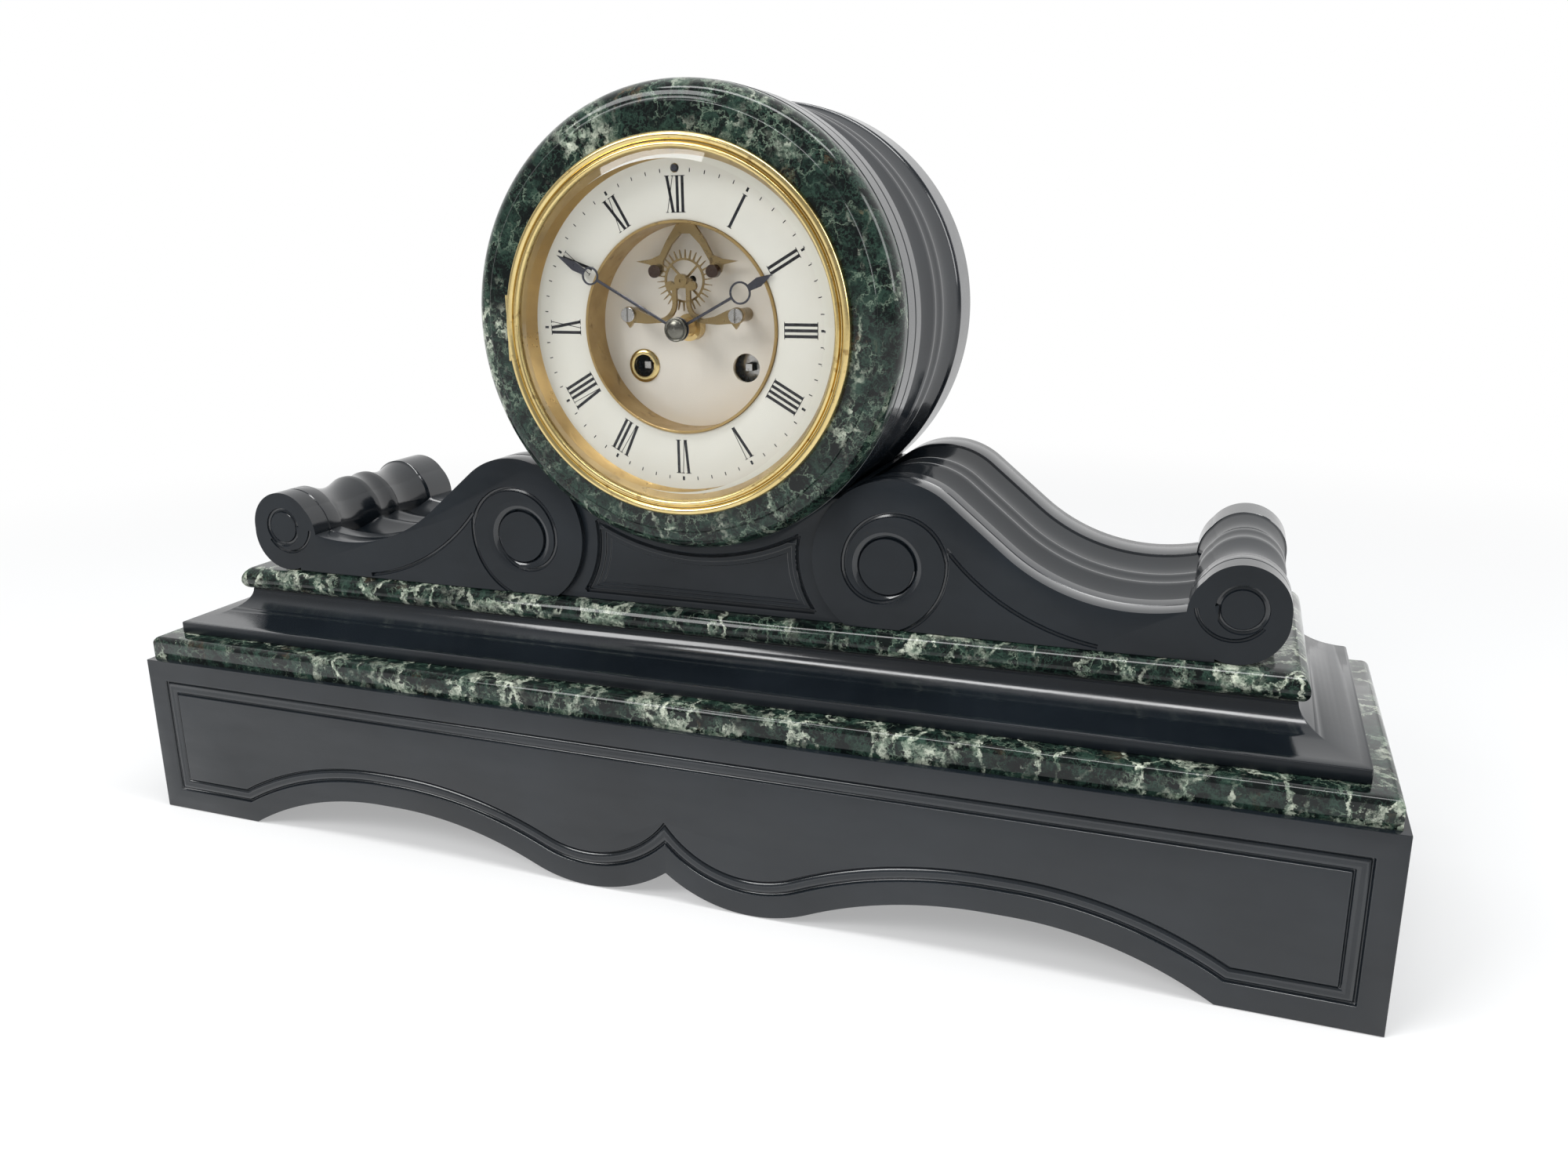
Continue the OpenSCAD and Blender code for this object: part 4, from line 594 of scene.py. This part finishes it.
# Right-hand scroll: the moulding is spun round the volute, drawn down the slope and spun through the cove
def makeScroll(coveAt):
    voluteX, voluteZ = scroll["volute"]
    slope, radius = scroll["slope"], scroll["radius"]
    length = scroll["slopeLength"] * mm
    profile = moulding(scroll["front"])
    piece = outline("scrollSlate", [place(voluteX, back, voluteZ - radius + depth) for back, depth in profile])
    closing = len(profile) - 1
    openMesh(piece)
    bpy.ops.mesh.select_mode(type="EDGE")
    bpy.ops.mesh.select_all(action="DESELECT")
    bpy.ops.object.mode_set(mode="OBJECT")
    for edge in piece.data.edges:
        edge.select = set(edge.vertices) == {0, closing}
    bpy.ops.object.mode_set(mode="EDIT")
    bpy.ops.mesh.delete(type="EDGE")
    bpy.ops.mesh.select_mode(type="VERT")
    bpy.ops.mesh.select_all(action="SELECT")
    bpy.ops.mesh.spin(
        steps=88, angle=math.radians(-(180 + slope)), center=place(voluteX, 0, voluteZ), axis=(0, 1, 0))
    bpy.ops.mesh.extrude_region_move(
        TRANSFORM_OT_translate={"value": (length * cosine(slope), 0, -length * sine(slope))})
    bpy.ops.mesh.spin(
        steps=24, angle=math.radians(scroll["coveTurn"]), center=place(coveAt[0], 0, coveAt[1]), axis=(0, 1, 0))
    bpy.ops.mesh.extrude_region_move(TRANSFORM_OT_translate={"value": (0, 0, -0.04)})
    bpy.ops.object.mode_set(mode="OBJECT")
    for back in (scroll["front"], clock["depth"]):  # both flat sides are closed by one face
        side = place(0, back, 0).y
        openMesh(piece)
        pick(piece, lambda vertex: abs(vertex.co.y - side) < 1e-6)
        bpy.ops.mesh.edge_face_add()
        bpy.ops.object.mode_set(mode="OBJECT")
    openMesh(piece)
    bpy.ops.mesh.fill_holes(sides=0)
    cleanMesh()
    openMesh(piece)
    bpy.ops.mesh.bisect(
        plane_co=place(0, 0, clock["slabTop"]), plane_no=(0, 0, 1), use_fill=True, clear_inner=True)
    cleanMesh()
    return piece


def rollOutline(radius):
    profile = moulding(scroll["front"])
    turned = [(radius - scroll["rollShare"] * depth, back) for back, depth in profile]
    return [(0, scroll["front"]), *turned, (0, clock["depth"])]


# Soft dish round the flat button of the volute's eye
def eyeOutline(radius, front, deep=0.35):
    dish = [(radius - 4.6 * sine(a), front + 1.7 * (1 - cosine(a))) for a in range(15, 91, 15)]
    return [(0, front - 1), (radius, front - 1), (radius, front), *dish,
            (radius - 4.9, front + deep), (0, front + deep)]


# Right-hand end roll: the turned roll and the flatter foot under its outer side, in one piece
def makeEndRoll():
    front = scroll["front"]
    eye = [(0, front + 0.3), (6.6, front + 0.3), (7.0, front + 0.9), (7.7, front + 1.1),
           (8.4, front + 0.8), (8.6, front)]
    piece = turn("endRollSlate", scroll["roll"], eye + rollOutline(scroll["rollRadius"])[1:], 120)
    foot = turn("endRollFoot", scroll["foot"], rollOutline(scroll["footRadius"]), 120)
    cutAway(foot, rodCutter(scroll["roll"], scroll["rollRadius"] - 5, 20, 150, 64))
    below = place(160, front - 5, clock["slabTop"] - 12), place(230, clock["depth"] + 5, clock["slabTop"])
    cutAway(foot, blockCutter(*below))
    combine(piece, foot, "UNION")
    return piece


reach = scroll["radius"] + scroll["cove"]
coveAt = (
    scroll["volute"][0] + reach * sine(scroll["slope"]) + scroll["slopeLength"] * cosine(scroll["slope"]),
    scroll["volute"][1] + reach * cosine(scroll["slope"]) - scroll["slopeLength"] * sine(scroll["slope"]))
volute = scroll["volute"]
# The spiral round the eye and the tail that leaves it, as centre, radius, start, end, width and depth
spiral = [
    ((volute[0] + 0.7, volute[1] - 1.2), 19.3, 10, 189, 1.9, 1.1),
    ((volute[0] - 7.9, volute[1]), 27.8, -66, 11, 1.7, 1.0),
    ((volute[0] - 5.2, volute[1] - 1.4), 13.4, 184, 356, 1.8, 1.0),
    (coveAt, scroll["cove"] + 14.3, 219, 262, 1.7, 1.0),
]
rollLine = ((scroll["roll"][0] - 2.7, scroll["roll"][1] + 1), 11.8, 188, 326)

rightScroll = makeScroll(coveAt)
easeEdges(rightScroll, scroll["ease"], 2, 38)
rightRoll = makeEndRoll()
cutAway(rightScroll, copyOf(rightRoll.data, "rollCutter"))
for at, radius, start, end, width, depth in spiral:
    cutArc(rightScroll, at, radius, start, end, scroll["front"], width, depth)
eyeAt = (volute[0] + scroll["eye"][0], volute[1] + scroll["eye"][1])
cutAway(rightScroll, turn("eyeCutter", eyeAt, eyeOutline(scroll["eyeRadius"], scroll["front"]), 96))
cutArc(rightRoll, *rollLine, scroll["front"], 1.5, 0.9)
for piece, name, node in ((rightScroll, "scrollSlate", "scroll"), (rightRoll, "endRollSlate", "end_roll")):
    smoothBy(piece, 30)
    other = flip(piece, name + "Left")
    smoothBy(other, 30)
    piece.name = name + "Right"
    finishPiece(piece, node + "_right", slate, satinSlate)
    finishPiece(other, node + "_left", slate, satinSlate)

# Line cut round the sunk panel of the saddle
border = {
    "front": 36.4, "top": 87.6, "side": 37.1, "foot": 110.3, "footHalf": 48.2, "width": 1.5, "depth": 1.3,
}
saddle = refine("saddleSlate", "saddle_block", 0.3, 30, 2)
for at, radius, start, end in (
    ((0, clock["drumZ"]), border["top"], 241.2, 298.8),
    (volute, border["side"], 168.5, 215.8), ((-volute[0], volute[1]), border["side"], -35.8, 11.5),
):
    cutArc(saddle, at, radius, start, end, border["front"], border["width"], border["depth"])
half = border["width"] / 2
cutAway(saddle, blockCutter(
    place(-border["footHalf"], border["front"] - 1, border["foot"] - half),
    place(border["footHalf"], border["front"] + border["depth"], border["foot"] + half)))
smoothBy(saddle, 30)
finishPiece(saddle, "saddle_block", slate, satinSlate)
print("scrolls, rolls and saddle made")


drum = {
    "radius": 83, "bore": 63.5, "joint": 34, "ringFront": 22, "flat": 75.8, "rearSeat": 65.5, "rearBack": 129.2,
    "wellHalf": 20, "well": (98, 114), "wellTop": 172, "ease": 0.35,
}
dialAt = (0, clock["dialZ"])
drumAt = (0, clock["drumZ"])


def makeDrum():
    inner = drum["bore"] - 6
    points = [(drum["radius"] - depth, back) for back, depth in moulding(drum["joint"])]
    piece = turn("drumSlate", drumAt, [*points, (inner, clock["depth"]), (inner, drum["joint"])], 220)
    easeEdges(piece, drum["ease"], 2, 34)
    cutAway(piece, rodCutter(dialAt, drum["bore"], 20, 150, 200))
    cutAway(piece, rodCutter(dialAt, drum["rearSeat"], drum["rearBack"], 150, 200))
    cutAway(piece, blockCutter(
        place(-drum["wellHalf"], drum["well"][0], clock["slabTop"] + 4),
        place(drum["wellHalf"], drum["well"][1], drum["wellTop"])))
    openMesh(piece)
    bpy.ops.mesh.fill_holes(sides=0)
    bpy.ops.object.mode_set(mode="OBJECT")
    smoothBy(piece, 34)
    return piece


# Front of the drum: a flat ring, a small step and a round shoulder
def makeMarbleRing():
    edge, flat, front, joint = drum["radius"] - 0.2, drum["flat"], drum["ringFront"], drum["joint"]
    inner = drum["bore"] - 4
    shoulder = [(flat + (edge - flat) * sine(a), front + 0.9 + 8.1 * (1 - cosine(a))) for a in range(0, 91, 6)]
    piece = turn("drumMarbleRing", drumAt, [
        (inner, front), (flat - 1.0, front), (flat - 0.6, front + 0.25), (flat - 0.3, front + 0.8),
        *shoulder, (edge, joint), (inner, joint)], 220)
    cutAway(piece, rodCutter(dialAt, drum["bore"] + 2.5, 15, 24, 200))
    cutAway(piece, rodCutter(dialAt, drum["bore"] + 0.05, 20, 40, 200))
    smoothBy(piece, 30)
    return piece


finishPiece(makeDrum(), "drum_barrel", slate, satinSlate)
finishPiece(makeMarbleRing(), "marble_ring", ringMarble)
print("drum made")


dial = {
    "bezel": 66.8, "bezelBack": 21.8, "sight": 61.4, "bevel": 3.6, "glassSeat": 1.7, "coneFront": 23.4,
    "chapterBack": 28.2, "chapterThick": 1.3, "chapterInner": 37.7, "chapterOuter": 61.5, "regulatorHole": (55, 1.6),
    "numeralIn": 40.2, "numeralOut": 52.4, "minuteTrack": 54.4,
}


def roundBead(low, high, base, rise, step):
    middle, half = (low + high) / 2, (high - low) / 2
    return [(middle - half * cosine(a), base - rise * sine(a)) for a in range(0, 181, step)]


def makeBezel():
    back, outer, sight = dial["bezelBack"], dial["bezel"], dial["sight"]
    seat = sight + dial["glassSeat"]
    return turn("bezelRing", dialAt, [
        (sight, back - 1.6), *roundBead(sight, seat, back - 2.15, 0.75, 18),
        (sight + 2.0, back - 1.75), (sight + 2.3, back - 1.75),
        *roundBead(outer - 3, outer - 0.1, back - 1.4, 1.5, 12),
        (outer, back), (seat, back), (seat, back - 1.6)], 240, 40)


def makeGlassPane():
    back, sight = dial["bezelBack"], dial["sight"]
    front, edge, flat = back - 2.8, back - 1.55, sight - dial["bevel"]
    rim = sight + dial["glassSeat"] - 0.1
    piece = turn("bezelGlass", dialAt, [
        (0, front), (flat, front), (sight, edge), (rim, edge), (rim, edge + 1), (0, edge + 1)], 200, 10)
    finishPiece(piece, "bezel_glass", clearGlass)
    piece.data.materials.append(bevelGlass)
    for face in piece.data.polygons:
        away = math.hypot(face.center.x, face.center.z - clock["dialZ"] * mm)
        if away > (flat - 0.3) * mm and face.normal.y < 0.5:
            face.material_index = 1


def makeChapterRing():
    front, inner, outer = dial["chapterBack"], dial["chapterInner"], dial["chapterOuter"]
    back = front + dial["chapterThick"]
    height, radius = dial["regulatorHole"]
    piece = turn("chapterRing", dialAt, [
        (inner, front + 0.4), (inner + 0.1, front + 0.15), (inner + 0.4, front),
        (outer, front), (outer, back), (inner, back)], 200)
    cutAway(piece, rodCutter((0, clock["dialZ"] + height), radius, 20, 40, 32))
    smoothBy(piece, 30)
    return piece


finishPiece(makeBezel(), "bezel", gilt)
knuckles = refine("bezelKnuckles", "bezel", 0)
cutAway(knuckles, rodCutter(dialAt, dial["bezel"] + 0.02, 15, 24, 240))  # leaves what stands outside the ring
smoothBy(knuckles, 30)
finishPiece(knuckles, "bezel", gilt)
makeGlassPane()
coneFront, coneBack = dial["coneFront"], dial["chapterBack"]
sightCone = turn("sightCone", dialAt, [
    (60.9, coneFront), (61.5, coneFront), (61.5, coneFront + 0.8), (59.3, coneBack), (58.4, coneBack)], 200)
finishPiece(sightCone, "sight_ring", oldGilt)
finishPiece(makeChapterRing(), "chapter_ring", dialEnamel)
print("bezel and dial plates made")


letters = {
    "bar": 1.08, "hair": 0.24, "pitch": 2.0, "serif": 0.45, "wide": 3.6, "lift": 0.04, "thick": 0.03,
    "hourMark": (0.42, 0.75), "minuteMark": (0.17, 0.65),
    "hours": ["XII", "I", "II", "III", "IIII", "V", "VI", "VII", "VIII", "IX", "X", "XI"],
}


# Small plate on the dial from four corners in [across, up], turned clockwise by an angle
def dialPlate(corners, angle):
    makeActive(None)
    bpy.ops.mesh.primitive_plane_add(size=0.01)
    piece = bpy.context.object
    back = dial["chapterBack"] - letters["lift"]
    first, second, third, fourth = corners
    for vertex, (across, up) in zip(piece.data.vertices, (first, second, fourth, third)):
        x = across * cosine(angle) + up * sine(angle)
        z = up * cosine(angle) - across * sine(angle)
        vertex.co = place(x, back, clock["dialZ"] + z)
    return piece


# One numeral with its foot towards the middle of the dial, from strokes in [across, up]
def strokesOf(text):
    low, high = dial["numeralIn"], dial["numeralOut"]
    half, hair, serif = letters["bar"] / 2, letters["hair"] / 2, letters["serif"]
    steps = [letters["pitch"] if letter == "I" else letters["wide"] for letter in text]
    across = -sum(steps) / 2
    strokes = []

    def slant(foot, head, reach):
        strokes.append([(foot - reach, low), (foot + reach, low), (head + reach, high), (head - reach, high)])

    def addSerif(at, reach, height):
        below, above = height - hair, height + hair
        strokes.append([(at - reach, below), (at + reach, below), (at + reach, above), (at - reach, above)])

    for letter, step in zip(text, steps):
        middle = across + step / 2
        spread = step / 2 - half - 0.15
        left, right = middle - spread, middle + spread
        heads = [(left, half + serif), (right, hair + serif)]
        if letter == "I":
            slant(middle, middle, half)
            feet = heads = [(middle, half + serif)]
        elif letter == "V":
            slant(middle, left, half)
            slant(middle + 0.5, right, hair)
            feet = [(middle, half + serif * 0.4)]
        else:
            slant(right, left, half)
            slant(left, right, hair)
            feet = [(right, half + serif), (left, hair + serif)]
        for at, reach in feet:
            addSerif(at, reach, low)
        for at, reach in heads:
            addSerif(at, reach, high)
        across += step
    return strokes


def makePrintwork():
    plates = []
    for hour, text in enumerate(letters["hours"]):
        plates += [dialPlate(stroke, 30 * hour) for stroke in strokesOf(text)]
    for minute in range(1, 60):
        wide, reach = letters["minuteMark"] if minute % 5 else letters["hourMark"]
        low, high = dial["minuteTrack"] - reach, dial["minuteTrack"] + reach
        plates.append(dialPlate([(-wide, low), (wide, low), (wide, high), (-wide, high)], 6 * minute))
    makeActive(plates[0])
    for piece in plates:
        piece.select_set(True)
    bpy.ops.object.join()
    piece = bpy.context.object
    piece.name = "dialNumerals"
    piece.data.name = "dialNumerals"
    openMesh(piece)
    bpy.ops.mesh.extrude_region_move(TRANSFORM_OT_translate={"value": (0, letters["thick"] * mm, 0)})
    bpy.ops.mesh.select_all(action="SELECT")
    bpy.ops.mesh.normals_make_consistent(inside=False)
    bpy.ops.object.mode_set(mode="OBJECT")
    return piece


numerals = makePrintwork()
numerals.data.materials.clear()
numerals.data.materials.append(dialPrint)
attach(numerals, "case")
print("numerals made")


# Hardware that keeps the CAD's shape, with eased edges: name, node, finish, slot and ease in mm
for name, node, finish, slot, ease in (
    ("caseRing", "case_ring", brass, "gilt", 0.1),
    ("dialPan", "dial_pan", oldGilt, "gilt", 0.1),
    ("dialCentre", "dial_centre", centreEnamel, "enamel", 0.15),
    ("windingGrommet", "winding_grommet", gilt, "gilt", 0.1),
    ("hourHand", "hour_hand", blued, "blued_steel", 0.12),
    ("minuteHand", "minute_hand", blued, "blued_steel", 0.12),
    ("handCollet", "hand_collet", darkSteel, "steel", 0.12),
    ("cannonPinion", "cannon_pinion", steel, "steel", 0.05),
    ("hourWheel", "hour_wheel", brass, "movement_brass", 0.05),
    ("escapeWheel", "escape_wheel", workBrass, "movement_brass", 0.04),
    ("escapeCock", "escape_cock", workBrass, "movement_brass", 0.15),
    ("cockScrews", "cock_screws", steel, "steel", 0.12),
    ("regulatorArbor", "regulator_arbor", blued, "blued_steel", 0.12),
    ("goingArbor", "going_arbor", steel, "steel", 0.1),
    ("strikeArbor", "strike_arbor", steel, "steel", 0.1),
    ("bellShell", "bell", bellMetal, "bell_metal", 0.2),
    ("backDoor", "back_door", oldGilt, "movement_brass", 0.2),
    ("rearRing", "rear_ring", oldGilt, "movement_brass", 0.2),
    ("backStraps", "straps", brass, "movement_brass", 0.2),
    ("strapScrews", "strap_screws", steel, "steel", 0.15),
    ("pendulumBob", "pendulum_bob", brass, "movement_brass", 0.15),
    ("palletAnchor", "anchor", workBrass, "blued_steel", 0.1),
):
    finishPiece(refine(name, node, ease), node, finish)

# The two pallet pins are dark against the brass of the anchor
pallet = {"x": 11.3, "z": 20, "reach": 2.5, "back": 35.5}
anchorPiece = bpy.data.objects["palletAnchor"]
anchorPiece.data.materials.append(palletSteel)
for face in anchorPiece.data.polygons:
    across, height = abs(face.center.x) / mm - pallet["x"], face.center.z / mm - clock["dialZ"] - pallet["z"]
    if face.center.y < place(0, pallet["back"], 0).y and math.hypot(across, height) < pallet["reach"]:
        face.material_index = 1
print("hands and escapement made")


# Nodes that stay as they are and only take a finish
kept = {
    brass: ["false_plate", "minute_wheel", "front_plate", "back_plate", "plate_pillars", "going_barrel", "mid_wheel",
            "centre_wheel", "third_wheel", "pallet_cock", "strike_barrel", "pin_wheel", "warning_wheel", "fly",
            "count_wheel", "rating_nut"],
    steel: ["going_click", "strike_click", "suspension_spring", "pendulum_rod", "hammer", "bell_stand", "hinge_pins"],
}
for material, names in kept.items():
    for node in names:
        cadNodes[node].data.materials.clear()
        cadNodes[node].data.materials.append(material)
print("movement finished")


room = {"floor": 4.0, "clearFrom": 0.42, "clearTo": 1.1, "ambient": 0.5, "floorGlow": 0.35}
lamps = {
    "window": ((-0.9, -1.3, 1.3), (0, 0, 0.15), (0.9, 0.7), 16),
    "ceilingStrip": ((0.1, -0.35, 1.55), (0, 0, 0.1), (1.6, 0.22), 12),
    "sideStrip": ((1.5, -0.1, 0.9), (0, 0, 0.15), (0.35, 1.0), 7),
}


def makeFloor():
    makeActive(None)
    bpy.ops.mesh.primitive_plane_add(size=2 * room["floor"], location=(0, 0, -0.0002))
    floor = bpy.context.object
    floor.name = "floor"
    material = bpy.data.materials.new("whiteFloor")
    material.use_nodes = True
    tree = material.node_tree
    tree.nodes.clear()
    point = addNode(tree, "ShaderNodeTexCoord").outputs["Object"]
    away = addNode(tree, "ShaderNodeVectorMath", {0: point}, operation="LENGTH").outputs["Value"]
    fade = addNode(tree, "ShaderNodeMapRange", {
        "Value": away, "From Min": room["clearFrom"], "From Max": room["clearTo"]},
        interpolation_type="SMOOTHSTEP").outputs[0]
    near = addNode(tree, "ShaderNodeBsdfDiffuse", {"Color": (0.93, 0.93, 0.93, 1)})
    far = addNode(tree, "ShaderNodeEmission", {"Color": (1, 1, 1, 1), "Strength": 1.0})
    path = addNode(tree, "ShaderNodeLightPath").outputs
    seen = calc(tree, path["Is Camera Ray"], path["Is Glossy Ray"], "ADD")
    seen = calc(tree, seen, path["Is Transmission Ray"], "ADD")
    lifted = addNode(tree, "ShaderNodeMapRange", {"Value": fade, "To Min": room["floorGlow"]}).outputs[0]
    both = addNode(tree, "ShaderNodeMixShader", {
        0: calc(tree, lifted, seen), 1: near.outputs[0], 2: far.outputs[0]})
    addNode(tree, "ShaderNodeOutputMaterial", {"Surface": both.outputs[0]})
    floor.data.materials.append(material)


# The room is white behind the clock, and greyer on the side that the camera stands on
def makeRoom():
    world = bpy.data.worlds.new("whiteRoom")
    bpy.context.scene.world = world
    world.use_nodes = True
    tree = world.node_tree
    tree.nodes.clear()
    path = addNode(tree, "ShaderNodeLightPath").outputs
    direction = addNode(tree, "ShaderNodeTexCoord").outputs["Generated"]
    across = addNode(tree, "ShaderNodeSeparateXYZ", {0: direction}).outputs["Y"]
    shade = addNode(tree, "ShaderNodeMapRange", {
        "Value": across, "From Min": -0.5, "From Max": 0.45, "To Min": 0.3, "To Max": 1.0},
        interpolation_type="SMOOTHSTEP").outputs[0]
    mirrored = addNode(tree, "ShaderNodeBackground", {"Color": shade, "Strength": 1.0})
    ambient = addNode(tree, "ShaderNodeBackground", {"Color": (0.95, 0.98, 1.0, 1), "Strength": room["ambient"]})
    backdrop = addNode(tree, "ShaderNodeBackground", {"Color": (1, 1, 1, 1), "Strength": 1.0})
    lit = addNode(tree, "ShaderNodeMixShader", {
        0: path["Is Glossy Ray"], 1: ambient.outputs[0], 2: mirrored.outputs[0]})
    seen = calc(tree, path["Is Camera Ray"], path["Is Transmission Ray"], "ADD")
    both = addNode(tree, "ShaderNodeMixShader", {0: seen, 1: lit.outputs[0], 2: backdrop.outputs[0]})
    addNode(tree, "ShaderNodeOutputWorld", {"Surface": both.outputs[0]})


def addLamp(name, at, aim, size, power):
    makeActive(None)
    bpy.ops.object.light_add(type="AREA", location=at)
    lamp = bpy.context.object
    lamp.name = name
    lamp.data.shape = "RECTANGLE"
    lamp.data.size, lamp.data.size_y = size
    lamp.data.energy = power
    lamp.rotation_euler = (Vector(aim) - Vector(at)).to_track_quat("-Z", "Y").to_euler()


makeFloor()
makeRoom()
for name, (at, aim, size, power) in lamps.items():
    addLamp(name, at, aim, size, power)

view = {
    "place": (0.1891, -0.4503, 0.2465), "lens": 28.285, "sensor": 36, "shift": (0.0137, -0.003),
    "right": (0.93420, 0.35650, -0.01332), "up": (-0.08492, 0.25848, 0.96228), "back": (0.34649, -0.89783, 0.27175),
}
bpy.ops.object.camera_add()
camera = bpy.context.object
camera.name = "photoCamera"
turned = Matrix((view["right"], view["up"], view["back"])).transposed()
camera.matrix_world = Matrix.Translation(view["place"]) @ turned.to_4x4()
camera.data.lens = view["lens"]
camera.data.sensor_width = view["sensor"]
camera.data.shift_x, camera.data.shift_y = view["shift"]
camera.data.clip_start = 0.01
bpy.context.scene.camera = camera
bpy.context.scene.view_settings.view_transform = "Standard"
print("room and camera set")
